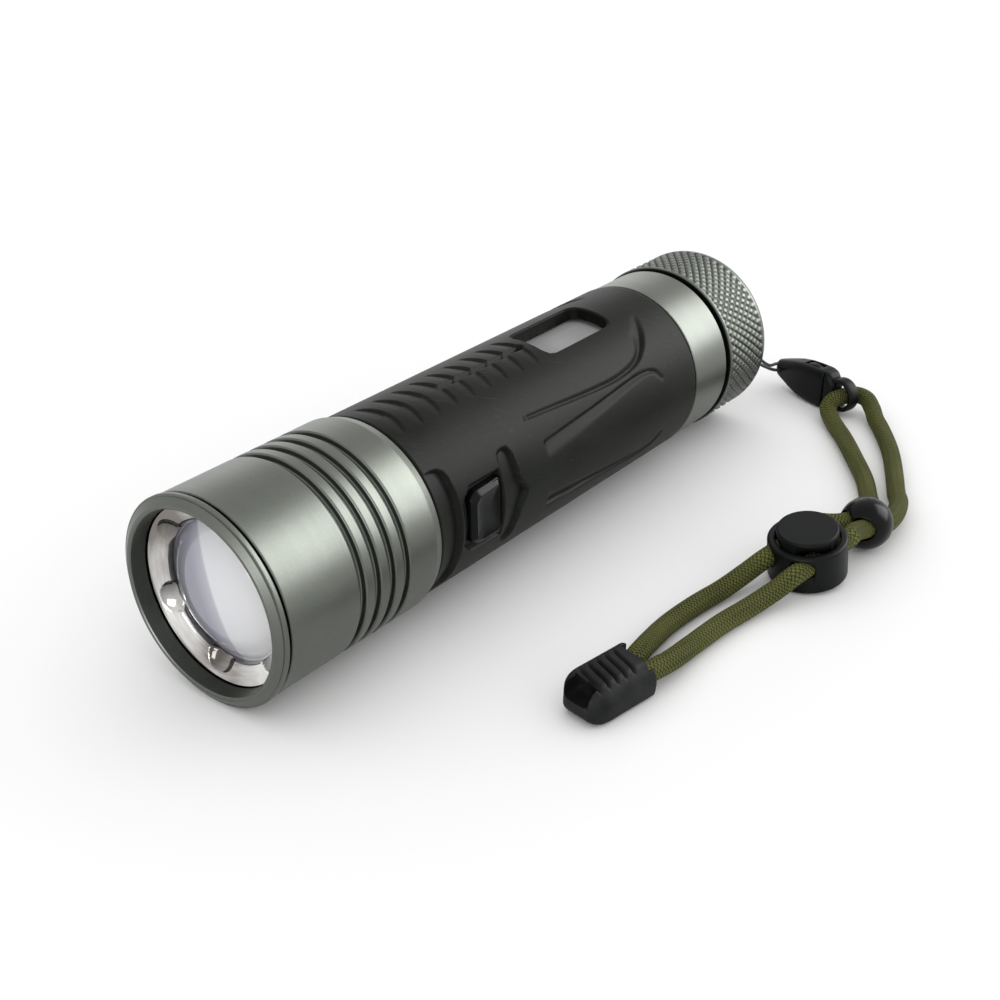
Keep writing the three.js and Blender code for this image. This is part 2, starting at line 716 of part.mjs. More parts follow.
function makeBatteryTube() {
  const grooveFloor = tailSealRadius - TAIL_SEAL_SECTION - FIT / 2;
  const grooveHalf = TAIL_SEAL_SECTION + FIT / 2;
  const blank = revolve([
    [neckSpigotRadius + FIT, neckShoulder],
    [tubeRadius, neckShoulder],
    [tubeRadius, gripBack + FIT],
    [rearTubeRadius - EDGE_CHAMFER, gripBack + FIT],
    [rearTubeRadius, gripBack + FIT + EDGE_CHAMFER],
    [rearTubeRadius, rearTubeBack - EDGE_CHAMFER],
    [rearTubeRadius - EDGE_CHAMFER, rearTubeBack],
    [spigotRadius, rearTubeBack],
    [spigotRadius, tailSealStation - grooveHalf],
    [grooveFloor, tailSealStation - grooveHalf],
    [grooveFloor, tailSealStation + grooveHalf],
    [spigotRadius, tailSealStation + grooveHalf],
    [spigotRadius, tubeBack - EDGE_CHAMFER],
    [spigotRadius - EDGE_CHAMFER, tubeBack],
    [cellBore, tubeBack],
    [cellBore, contactFront - FIT],
    [electronicsBore, contactFront - FIT],
    [electronicsBore, socketBack],
    [neckSpigotRadius + FIT, socketBack],
  ]);
  const flatLength = WINDOW_LENGTH + 2 * WINDOW_CORNER;
  const flat = radialPrism(
    roundedBox(2 * tubeRadius, flatLength, WINDOW_CORNER, 0, windowStation + WINDOW_LENGTH / 2),
    tubeRadius - WINDOW_FLAT_DEPTH,
    gripRadius,
    TOP_ANGLE,
  );
  const pocket = radialPrism(
    roundedBox(SWITCH_POCKET_WIDTH + 2 * FIT, SWITCH_POCKET_LENGTH, OVERRUN, 0, buttonCentre),
    switchPocketFloor,
    gripRadius,
    SIDE_ANGLE,
  );
  return cutAll(blank, [flat, pocket]);
}

function makeCell() {
  const tip = cellStation - CELL_TIP_HEIGHT;
  return revolve([
    [0, tip],
    [CELL_TIP_RADIUS, tip],
    [CELL_TIP_RADIUS, cellStation],
    [cellRadius - EDGE_CHAMFER, cellStation],
    [cellRadius, cellStation + EDGE_CHAMFER],
    [cellRadius, cellBack - EDGE_CHAMFER],
    [cellRadius - EDGE_CHAMFER, cellBack],
    [0, cellBack],
  ], INNER_SEGMENTS);
}

piece("battery_tube", makeBatteryTube(), "gunmetal");
piece("battery_cell", makeCell(), "cell");
piece("contact_board", plug(cellBore - FIT, contactFront, contactBack, INNER_SEGMENTS), "board");
piece("front_contact", plug(CONTACT_RADIUS, contactBack + FIT / 3, contactTip, SMALL_SEGMENTS), "brass");

// Grip: a moulded sleeve with ribs, a window, a slot, a button recess and sculpted creases
const dropCone = (frontRadius, front, backRadius, back) =>
  revolve([
    [0, front - OVERRUN],
    [frontRadius, front - OVERRUN],
    [frontRadius, front],
    [backRadius, back],
    [backRadius, back + OVERRUN],
    [0, back + OVERRUN],
  ]);

// Half outlines, as shares of a half width and a length, from the centre line out
const recessShares = [[0.6, 0], [1, 0.26], [1, 1]];
const buttonShares = [[0.74, 0], [0.95, 0.2], [1, 1]];
const scoopShares = [[1, 0], [1, 0.42], [0.98, 0.7], [0.9, 0.87], [0.78, 0.94], [0.4, 0.99], [0, 1]];
const arrowShares = [
  [0.8, 0],
  [0.94, 0.06],
  [1, 0.28],
  [0.96, 0.5],
  [0.84, 0.6],
  [0.68, 0.62],
  [0.3, 0.7],
  [0, 1],
];

const shareOutline = (shares, halfWidth, start, length) =>
  shares.map(([across, along]) => [across * halfWidth, start + along * length]);
const buttonHalf = shareOutline(buttonShares, BUTTON_HALF_WIDTH, buttonStation, BUTTON_LENGTH);
const ribFadeShare = 0.94;

function makeRibCutters() {
  const half = 3;
  return Array.from({ length: ribCount }, (_, rib) => {
    const steps = Array.from({ length: 2 * half + 1 }, (_, i) => {
      const share = (i - half) / half;
      const fade = Math.sqrt(1 - ribFadeShare * share ** 2);
      return {
        at: [ribStation + rib * RIB_PITCH - RIB_BOW * share ** 2, RIB_HALF_ARC * share],
        before: RIB_STEP,
        after: RIB_RAMP * fade,
        depth: RIB_DEPTH * fade,
      };
    });
    return gripGroove(steps, TOP_ANGLE);
  });
}

// The thumb scoop ahead of the button and the arrow pocket behind it. Their floors slope along Y.
function makeScoopCutter() {
  const back = recessStation - SCOOP_TO_RECESS;
  const front = gripFront - OVERRUN;
  const outline = mirrored(shareOutline(scoopShares, chord(SCOOP_HALF_ARC), front, back - front));
  const floor = dropCone(gripRadius, gripFront, gripRadius - RECESS_DEPTH, back);
  return radialPrism(outline, 0, gripRadius + OVERRUN, SIDE_ANGLE).subtract(floor);
}

function makeArrowCutter() {
  const front = recessStation + RECESS_LENGTH + EDGE_CHAMFER;
  const outline = mirrored(shareOutline(arrowShares, chord(ARROW_HALF_ARC), front, ARROW_REACH));
  const [shallow, deep] = [gripRadius - RECESS_DEPTH / 3, gripRadius - RECESS_DEPTH];
  const floor = dropCone(shallow, front, deep, front + ARROW_REACH);
  return radialPrism(outline, 0, gripRadius + OVERRUN, SIDE_ANGLE).subtract(floor);
}

// A crease is a tapering groove through [station, arc] points, given on the positive side
function makeCrease(points, beforeShares, afterShares, depthShares, angle, side) {
  const curve = new THREE.CatmullRomCurve3(points.map(([s, c]) => new THREE.Vector3(s, side * c, 0)));
  const count = 2 * points.length;
  const pick = (shares, t) => {
    const place = t * (shares.length - 1);
    const low = Math.min(Math.floor(place), shares.length - 2);
    return THREE.MathUtils.lerp(shares[low], shares[low + 1], place - low) * CREASE_DEPTH;
  };
  const steps = Array.from({ length: count + 1 }, (_, i) => {
    const t = i / count;
    const p = curve.getPoint(t);
    const [before, after] = [pick(beforeShares, t), pick(afterShares, t)];
    return {
      at: [p.x, p.y],
      before: side > 0 ? before : after,
      after: side > 0 ? after : before,
      depth: pick(depthShares, t),
    };
  });
  return gripGroove(steps, angle);
}

// Places as shares of the grip's length and radius, and widths and depths as shares of the depth
const panelCreaseShares = [[0.346, 0.785], [0.704, 0.89], [0.796, 0.817], [0.849, 0.639], [0.888, 0.366]];
const sideCreaseShares = [[0.381, 0.366], [0.577, 0.429], [0.791, 0.492], [0.83, 0.45], [0.854, 0.335]];
const panelFallShares = [0.8, 1, 1.4, 3.4, 1];
const panelWallShares = [0.8, 0.8, 0.8, 0.8, 0.8];
const panelDepthShares = [0.3, 0.5, 0.8, 1, 0.3];
const sideFallShares = [3.6, 2, 0.9, 0.9, 0.9];
const sideWallShares = [0.7, 0.7, 0.7, 0.7, 0.7];
const sideDepthShares = [1.1, 0.8, 0.5, 0.5, 0.4];

function makeCreases() {
  const onSleeve = (shares) =>
    shares.map(([along, across]) => [gripFront + along * gripLength, across * gripRadius]);
  const farSide = 2 * TOP_ANGLE - SIDE_ANGLE;
  const panel = onSleeve(panelCreaseShares);
  const flank = onSleeve(sideCreaseShares);
  return [1, -1].flatMap((side) => [
    makeCrease(panel, panelFallShares, panelWallShares, panelDepthShares, TOP_ANGLE, side),
    makeCrease(flank, sideFallShares, sideWallShares, sideDepthShares, SIDE_ANGLE, side),
    makeCrease(flank, sideFallShares, sideWallShares, sideDepthShares, farSide, side),
  ]);
}

function makeGrip() {
  const blank = revolve([
    [gripBore, gripFront],
    [gripRadius - EDGE_CHAMFER, gripFront],
    [gripRadius, gripFront + EDGE_CHAMFER],
    [gripRadius, gripBack - GRIP_BACK_ROUND],
    [gripRadius - GRIP_BACK_DROP / 3, gripBack - GRIP_BACK_ROUND / 2],
    [gripRadius - GRIP_BACK_DROP, gripBack],
    [gripBore, gripBack],
  ]);
  const windowCentre = windowStation + WINDOW_LENGTH / 2;
  const window = radialPrism(
    roundedBox(2 * chord(WINDOW_HALF_ARC), WINDOW_LENGTH, WINDOW_CORNER, 0, windowCentre),
    cellBore,
    gripRadius + OVERRUN,
    TOP_ANGLE,
  );
  const slot = radialPrism(
    roundedBox(SLOT_WIDTH, SLOT_LENGTH, SLOT_WIDTH / 4, 0, slotStation + SLOT_LENGTH / 2),
    gripRadius - SLOT_DEPTH,
    gripRadius + OVERRUN,
    TOP_ANGLE,
  );
  const recessHalf = shareOutline(recessShares, RECESS_HALF_WIDTH, recessStation, RECESS_LENGTH);
  const recess = radialPrism(mirrored(recessHalf), 0, gripRadius + OVERRUN, SIDE_ANGLE).subtract(
    plug(gripRadius - RECESS_DEPTH, 0, capBack),
  );
  const holeStart = buttonStation - FIT;
  const holeHalf = shareOutline(buttonShares, BUTTON_HALF_WIDTH + FIT, holeStart, BUTTON_LENGTH + 2 * FIT);
  const hole = radialPrism(mirrored(holeHalf), cellBore, gripRadius, SIDE_ANGLE);
  const cutters = [window, slot, recess, hole, makeScoopCutter(), makeArrowCutter()];
  return cutAll(blank, [...cutters, ...makeRibCutters(), ...makeCreases()]);
}

piece("grip_sleeve", makeGrip(), "grip");

// Side button over a small push switch, built pointing up and turned to the button's angle
const boardBottom = switchPocketFloor + FIT;
const boardTop = boardBottom + SWITCH_BOARD_THICKNESS;
const switchBottom = boardTop + FIT / 3;
const switchTop = switchBottom + SWITCH_BODY_HEIGHT;
const plungerTop = switchTop + PLUNGER_LENGTH / 2;
const buttonBottom = plungerTop + FIT;
const sideAxis = new THREE.Group();
sideAxis.rotation.y = THREE.MathUtils.degToRad(SIDE_ANGLE);
torch.add(sideAxis);

function uprightCylinder(radius, bottom, top, station) {
  const post = new THREE.CylinderGeometry(radius, radius, top - bottom, SMALL_SEGMENTS);
  return toSolid(post.rotateX(Math.PI / 2).translate(0, station, (bottom + top) / 2));
}

// The crown narrows above its shoulder, and a shallow dish for the fingertip is cut into it
const crownShare = 0.78;
const dishShare = 0.12;

function makeButton() {
  const outline = mirrored(buttonHalf);
  const ring = (share, z) =>
    outline.map(([x, y]) => new THREE.Vector3(x * share, buttonCentre + (y - buttonCentre) * share, z));
  const body = toSolid(
    loft([ring(1, buttonBottom), ring(1, buttonTop - BUTTON_SHOULDER), ring(crownShare, buttonTop)]),
  );
  const dish = new THREE.CylinderGeometry(BUTTON_DISH, BUTTON_DISH, 2 * BUTTON_HALF_WIDTH * crownShare, 48);
  dish.rotateZ(Math.PI / 2);
  dish.translate(0, buttonCentre - BUTTON_LENGTH * dishShare, buttonTop + BUTTON_DISH - BUTTON_SHOULDER / 2);
  return body.subtract(toSolid(dish));
}

function makeSwitch() {
  const body = new THREE.BoxGeometry(SWITCH_BODY, SWITCH_BODY, SWITCH_BODY_HEIGHT);
  const boreBottom = plungerTop - PLUNGER_LENGTH - BUTTON_TRAVEL - FIT / 3;
  const bore = uprightCylinder(PLUNGER_RADIUS + FIT / 2, boreBottom, gripRadius, buttonCentre);
  return toSolid(body.translate(0, buttonCentre, switchBottom + SWITCH_BODY_HEIGHT / 2)).subtract(bore);
}

function makeSwitchBoard() {
  const length = SWITCH_POCKET_LENGTH - 2 * FIT;
  const board = new THREE.BoxGeometry(SWITCH_POCKET_WIDTH, length, SWITCH_BOARD_THICKNESS);
  return board.translate(0, buttonCentre, boardBottom + SWITCH_BOARD_THICKNESS / 2);
}

piece("side_button", makeButton(), "grip", sideAxis);
const plunger = uprightCylinder(PLUNGER_RADIUS, plungerTop - PLUNGER_LENGTH, plungerTop, buttonCentre);
piece("switch_plunger", plunger, "plastic", sideAxis);
piece("push_switch", makeSwitch(), "plastic", sideAxis);
piece("switch_board", makeSwitchBoard(), "board", sideAxis);

// Tail cap: knurled outside, bored for the tube's spigot, with an eyelet for the lanyard thread
const knurlFront = capFront + CAP_FRONT_LIP;
const knurlBack = capBack - CAP_BACK_ROUND;
const eyeletRadius = capRadius - EYELET_INSET;
const capDish = capRadius - KNURL_DEPTH - CAP_BACK_ROUND - CAP_RIM;
const eyeletTurn = THREE.MathUtils.degToRad(EYELET_ANGLE);

// The diamond knurl: flat-sided pyramids between two crossed sets of helical grooves
function makeKnurledBlank() {
  const rowPitch = (knurlBack - knurlFront) / KNURL_ROWS;
  const positions = [];
  const faces = [];
  const add = (radius, turn, station) => {
    positions.push(radius * Math.sin(turn), station, radius * Math.cos(turn));
    return positions.length / 3 - 1;
  };
  const step = (2 * Math.PI) / KNURL_COUNT;
  const low = capRadius - KNURL_DEPTH;
  const rows = 2 * KNURL_ROWS;
  const grid = Array.from({ length: rows + 1 }, (_, row) =>
    Array.from({ length: KNURL_COUNT }, (_, i) => {
      const peak = row % 2 === 1;
      return add(peak ? capRadius : low, (i + (row % 2) / 2) * step, knurlFront + (row * rowPitch) / 2);
    }),
  );
  for (let row = 0; row < rows; row++) {
    for (let i = 0; i < KNURL_COUNT; i++) {
      const shift = row % 2;
      const next = (i + 1) % KNURL_COUNT;
      const [a, b] = [grid[row][i], grid[row][next]];
      const [c, d] = [grid[row + 1][(i + shift) % KNURL_COUNT], grid[row + 1][(i + 1) % KNURL_COUNT]];
      if (shift === 0) faces.push(a, b, c, b, d, c);
      else faces.push(a, b, c, a, c, grid[row + 1][i]);
    }
  }
  const ends = [
    [add(0, 0, knurlFront), grid[0], false],
    [add(0, 0, knurlBack), grid[rows], true],
  ];
  for (const [centre, ring, last] of ends) {
    for (let i = 0; i < KNURL_COUNT; i++) {
      const next = (i + 1) % KNURL_COUNT;
      faces.push(...(last ? [centre, ring[i], ring[next]] : [centre, ring[next], ring[i]]));
    }
  }
  const geometry = new THREE.BufferGeometry();
  geometry.setAttribute("position", new THREE.Float32BufferAttribute(positions, 3));
  geometry.setIndex(faces);
  return toSolid(geometry);
}

// The thread's turn inside the cap's end wall, from one hole round to the other
const eyeletAlong = new THREE.Vector3(Math.cos(eyeletTurn), 0, -Math.sin(eyeletTurn));
const eyeletOut = new THREE.Vector3(Math.sin(eyeletTurn), 0, Math.cos(eyeletTurn));
const eyeletCentre = eyeletOut.multiplyScalar(eyeletRadius);
const eyeletBend = Array.from({ length: 7 }, (_, i) => {
  const turn = (Math.PI * i) / 6;
  const place = eyeletCentre.clone().addScaledVector(eyeletAlong, EYELET_BEND * Math.cos(turn));
  return place.setY(capBack - EYELET_BEND / 2 - EYELET_BEND * Math.sin(turn));
});

function makeCap() {
  const neckIn = capRadius - KNURL_DEPTH;
  const frontLip = revolve([
    [0, capFront],
    [capRadius - 2 * EDGE_CHAMFER, capFront],
    [capRadius, capFront + 2 * EDGE_CHAMFER],
    [capRadius, knurlFront - EDGE_CHAMFER],
    [neckIn, knurlFront + EDGE_CHAMFER / 4],
    [0, knurlFront + EDGE_CHAMFER / 4],
  ]);
  const backRound = Array.from({ length: 5 }, (_, i) => {
    const turn = (Math.PI / 2) * (i / 4);
    return [neckIn - CAP_BACK_ROUND * (1 - Math.cos(turn)), knurlBack + CAP_BACK_ROUND * Math.sin(turn)];
  });
  const backFront = knurlBack - EDGE_CHAMFER / 4;
  const back = revolve([[0, backFront], [neckIn, backFront], ...backRound, [0, capBack]]);
  const bore = plug(capBore, capFront - OVERRUN, capInside);
  const dish = plug(capDish, capBack - CAP_DISH_DEPTH, capBack + OVERRUN);
  const lift = new THREE.Vector3(0, EYELET_BEND + OVERRUN, 0);
  const ends = [eyeletBend[0], eyeletBend.at(-1)].map((point) => point.clone().add(lift));
  const eyelet = toSolid(tube([ends[0], ...eyeletBend, ends[1]], EYELET_HOLE, 8, 1));
  return cutAll(joinAll([frontLip, makeKnurledBlank(), back]), [bore, dish, eyelet]);
}

const seatBack = capInside - FIT / 3;
const seatFront = seatBack - SPRING_SEAT_THICKNESS;
const springFront = cellBack + FIT;
const tailSpring = spring(SPRING_RADIUS, SPRING_WIRE, seatFront - FIT / 3 - springFront, SPRING_TURNS);

piece("tail_cap", makeCap(), "gunmetal");
piece("tail_seal", sealRing(tailSealRadius, TAIL_SEAL_SECTION, tailSealStation), "seal");
piece("spring_seat", plug(SPRING_SEAT_RADIUS, seatFront, seatBack, INNER_SEGMENTS), "brass");
piece("tail_spring", tailSpring.translate(0, springFront, 0), "brass");

const part = new THREE.Group();
part.add(torch);

// Lanyard: a thread from the tail, a pull-apart buckle, and a cord through a bead and a sliding lock.
// The buckle stands on its narrow edge, and its parts are drawn along local X with local Z up.
const lanyard = new THREE.Group();
lanyard.position.set(0, capBack / 2, 0);
part.add(lanyard);
const buckle = new THREE.Group();
buckle.position.set(BUCKLE_PLACE[0], BUCKLE_PLACE[1], BUCKLE_HALF_HEIGHT + FLOOR_GAP);
buckle.rotation.z = THREE.MathUtils.degToRad(BUCKLE_TURN);
lanyard.add(buckle);
const plugFront = BUCKLE_SOCKET_LENGTH + FIT;
const plugBack = BUCKLE_EYE_CENTRE - BUCKLE_EYE_RADIUS / 2;
const cavityFront = BUCKLE_SOCKET_LENGTH * BUCKLE_CAVITY_SHARE;

// A plate standing in the buckle's plane, from [along, up] points, centred on its thickness
function plate(outline, halfThickness) {
  const depth = 2 * halfThickness;
  const slab = new THREE.ExtrudeGeometry(toShape(outline), { depth, bevelEnabled: false, curveSegments: 9 });
  return toSolid(slab.translate(0, 0, -halfThickness).rotateX(Math.PI / 2));
}
const block = (x0, x1, halfHeight, halfThickness) =>
  plate([[x0, -halfHeight], [x1, -halfHeight], [x1, halfHeight], [x0, halfHeight]], halfThickness);

// The socket grows from a flat nose, which the thread passes through, to its full section. Each row
// is a share of its length, then shares of the nose's or the body's half height and half thickness.
const noseShares = [[0, 0.8, 0.4], [0.04, 1, 0.5], [0.22, 1.3, 0.55]];
const bodyShares = [[0.34, 0.84, 1], [0.9, 1, 1], [1, 0.97, 0.94]];
const cornerShare = 0.35;

function makeBuckleSocket() {
  const [h, d] = [BUCKLE_HALF_HEIGHT, BUCKLE_HALF_THICKNESS];
  const section = (height) => ([along, heightShare, thicknessShare]) => {
    const [half, thick] = [height * heightShare, d * thicknessShare];
    const corner = thick * cornerShare;
    const quarter = [[thick, half - corner], [thick - corner, half]];
    const upper = [...quarter, ...quarter.toReversed().map(([y, z]) => [-y, z])];
    const round = [...upper, ...upper.map(([y, z]) => [-y, -z])];
    return round.map(([y, z]) => new THREE.Vector3(BUCKLE_SOCKET_LENGTH * along, y, z));
  };
  const shell = loft([...noseShares.map(section(BUCKLE_NOSE_HALF_HEIGHT)), ...bodyShares.map(section(h))]);
  const cavity = block(cavityFront, BUCKLE_SOCKET_LENGTH + OVERRUN, h - BUCKLE_WALL, d - BUCKLE_WALL);
  const threadHole = new THREE.CylinderGeometry(NOSE_HOLE, NOSE_HOLE, 2 * h, SMALL_SEGMENTS);
  return cutAll(toSolid(shell), [cavity, toSolid(threadHole.translate(NOSE_HOLE_PLACE, 0, 0))]);
}

// The plug has two arms and a guide inside the socket, press pads at its mouth, and a cord eye
const plugTaperShare = 0.66;
const plugThicknessShare = 0.86;

function makeBucklePlug() {
  const [h, w, d] = [BUCKLE_HALF_HEIGHT, BUCKLE_WALL, BUCKLE_HALF_THICKNESS];
  const armDepth = d - w - FIT;
  const armOuter = h - w - FIT;
  const narrow = h * plugTaperShare;
  const wedge = [[plugFront, -h], [plugBack, -narrow], [plugBack, narrow], [plugFront, h]];
  const arm = (side) =>
    plate(
      [
        [plugFront + w / 2, side * (armOuter - w)],
        [plugFront + w / 2, side * armOuter],
        [cavityFront + 2 * w, side * armOuter],
        [cavityFront + w / 2, side * (armOuter - w / 2)],
        [cavityFront + w / 2, side * (armOuter - w)],
      ],
      armDepth,
    );
  const guide = block(cavityFront + 2 * w, plugFront + w / 2, w / 2, armDepth);
  const eye = new THREE.Shape().absarc(BUCKLE_EYE_CENTRE, 0, BUCKLE_EYE_RADIUS, 0, 2 * Math.PI);
  const hole = new THREE.Shape().absarc(BUCKLE_EYE_CENTRE, 0, CORD_RADIUS + 2 * FIT, 0, 2 * Math.PI);
  const whole = [plate(wedge, d * plugThicknessShare), arm(1), arm(-1), guide, plate(eye, d * EYE_THICKNESS_SHARE)];
  return joinAll(whole).subtract(plate(hole, h));
}

piece("buckle_socket", makeBuckleSocket(), "plastic", buckle);
piece("buckle_plug", makeBucklePlug(), "plastic", buckle);

// The thread: one closed loop through the cap's eyelet and the buckle's nose
const outward = new THREE.Vector3(0, EYELET_BEND, 0);
torch.updateMatrixWorld(true);
lanyard.updateMatrixWorld(true);
const fromTorch = (point) => lanyard.worldToLocal(torch.localToWorld(point.clone()));
const threadPoints = [
  ...[eyeletBend[0].clone().add(outward), ...eyeletBend, eyeletBend.at(-1).clone().add(outward)].map(fromTorch),
  ...THREAD_AROUND_NOSE.map((point) => new THREE.Vector3(...point)),
];
piece("lanyard_thread", tube(threadPoints, THREAD_RADIUS, 6, 1, true), "thread", lanyard);

// The cord runs from one side of its end clip through the lock, the bead and the buckle, and back
const cordPoints = CORD_POINTS.map((point) => new THREE.Vector3(...point));
piece("lanyard_cord", tube(cordPoints, CORD_RADIUS, 8, 1), "cord", lanyard);

// The bead slides on both strands at once
const bead = new THREE.Group();
bead.position.set(...BEAD_PLACE);
bead.rotation.set(THREE.MathUtils.degToRad(BEAD_TILT), 0, THREE.MathUtils.degToRad(BEAD_TURN), "ZXY");
lanyard.add(bead);

// One slot holds both strands side by side, and flares past the bead's waist at either mouth
function makeBead() {
  const ball = new THREE.SphereGeometry(BEAD_RADIUS, SMALL_SEGMENTS, SMALL_SEGMENTS / 2).rotateX(Math.PI / 2);
  const channel = (half, front, back) => {
    const depth = back - front;
    const outline = roundedBox(2 * (BEAD_STRAND_OFFSET + half), 2 * half, half);
    const slot = new THREE.ExtrudeGeometry(outline, { depth, bevelEnabled: false, curveSegments: 3 });
    return toSolid(slot.rotateX(Math.PI / 2).translate(0, back, 0));
  };
  const bore = CORD_RADIUS + FIT;
  const flare = bore + BEAD_MOUTH_FLARE;
  const reach = 2 * BEAD_RADIUS;
  return cutAll(toSolid(ball), [
    channel(bore, -reach, reach),
    channel(flare, -reach, -BEAD_WAIST / 2),
    channel(flare, BEAD_WAIST / 2, reach),
  ]);
}

piece("cord_bead", makeBead(), "plastic", bead);

// The cord lock: a cup with two cord holes, and a sprung button that pinches the strands
const lock = new THREE.Group();
lock.position.set(LOCK_PLACE[0], LOCK_PLACE[1], FLOOR_GAP + LOCK_RADIUS * Math.sin(THREE.MathUtils.degToRad(LOCK_TILT)));
lock.rotation.set(THREE.MathUtils.degToRad(LOCK_TILT), 0, THREE.MathUtils.degToRad(LOCK_TURN), "ZXY");
lanyard.add(lock);
const lockBore = LOCK_RADIUS - LOCK_WALL;
const lockButtonRadius = lockBore - FIT;
const lockButtonBottom = LOCK_FLOOR + LOCK_TRAVEL + FIT;
const lockButtonTop = LOCK_HEIGHT + LOCK_BUTTON_RISE;
const strandHole = CORD_RADIUS + FIT;
const springBottom = LOCK_FLOOR + FIT / 3;
const springTop = LOCK_STRAND_HEIGHT + strandHole;

// Solids of revolution about the lock's own upright axis
const upright = (points) => toSolid(revolved(points, INNER_SEGMENTS).rotateX(Math.PI / 2));

// A channel along the strands, from a low to a high limit about one strand's centre
function strandChannel(x, low, high) {
  const height = high - low;
  const outline = roundedBox(2 * strandHole, height, strandHole, x, -(low + high) / 2);
  const depth = 4 * LOCK_RADIUS;
  const channel = new THREE.ExtrudeGeometry(outline, { depth, bevelEnabled: false, curveSegments: 3 });
  return toSolid(channel.translate(0, 0, -2 * LOCK_RADIUS).rotateX(-Math.PI / 2));
}

const postAt = (radius, bottom, top) =>
  upright([[0, bottom], [radius, bottom], [radius, top], [0, top]]);

function makeLockBody() {
  const cup = upright([
    [0, 0],
    [LOCK_RADIUS - EDGE_CHAMFER, 0],
    [LOCK_RADIUS, EDGE_CHAMFER],
    [LOCK_RADIUS, LOCK_HEIGHT - 2 * EDGE_CHAMFER],
    [LOCK_RADIUS - EDGE_CHAMFER / 2, LOCK_HEIGHT - EDGE_CHAMFER / 2],
    [LOCK_RADIUS - 2 * EDGE_CHAMFER, LOCK_HEIGHT],
    [lockBore + EDGE_CHAMFER, LOCK_HEIGHT],
    [lockBore, LOCK_HEIGHT - EDGE_CHAMFER],
    [lockBore, LOCK_FLOOR],
    [0, LOCK_FLOOR],
  ]);
  const holes = [1, -1].map((side) =>
    strandChannel(side * LOCK_STRAND_OFFSET, LOCK_STRAND_HEIGHT - strandHole, LOCK_STRAND_HEIGHT + strandHole),
  );
  return cutAll(cup, holes);
}

function makeLockButton() {
  const disc = upright([
    [0, lockButtonBottom],
    [lockButtonRadius, lockButtonBottom],
    [lockButtonRadius, lockButtonTop - EDGE_CHAMFER / 2],
    [lockButtonRadius - EDGE_CHAMFER / 2, lockButtonTop],
    [0, lockButtonTop],
  ]);
  const slots = [1, -1].map((side) =>
    strandChannel(
      side * LOCK_STRAND_OFFSET,
      LOCK_STRAND_HEIGHT - strandHole,
      LOCK_STRAND_HEIGHT + strandHole + LOCK_TRAVEL,
    ),
  );
  const springBore = postAt(LOCK_SPRING_RADIUS + FIT / 2, 0, springTop + FIT / 3);
  return cutAll(disc, [...slots, springBore]);
}

const lockSpring = spring(LOCK_SPRING_RADIUS, LOCK_SPRING_WIRE, springTop - springBottom, LOCK_SPRING_TURNS);

piece("lock_body", makeLockBody(), "plastic", lock);
piece("lock_button", makeLockButton(), "plastic", lock);
piece("lock_spring", lockSpring.rotateX(Math.PI / 2).translate(0, 0, springBottom), "brass", lock);

// The cord's end clip: two shells, ribbed on top, closed round both strand ends
const clip = new THREE.Group();
clip.position.set(CLIP_PLACE[0], CLIP_PLACE[1], FLOOR_GAP + CLIP_HEIGHT / 2);
clip.rotation.z = THREE.MathUtils.degToRad(CLIP_TURN);
lanyard.add(clip);

// Its section as shares of half its width and height, and how the section grows from the round nose
const clipSectionShares = [
  [-0.9, -1], [0.88, -1], [1, -0.86], [0.97, 0.16], [0.78, 0.72], [0.5, 0.94], [-0.76, 1], [-0.96, 0.84], [-1, -0.84],
];
const clipNoseShares = [[0, 0.66, 0.5], [0.035, 0.84, 0.8], [0.1, 0.95, 0.95], [0.2, 1, 1], [1, 1, 1]];

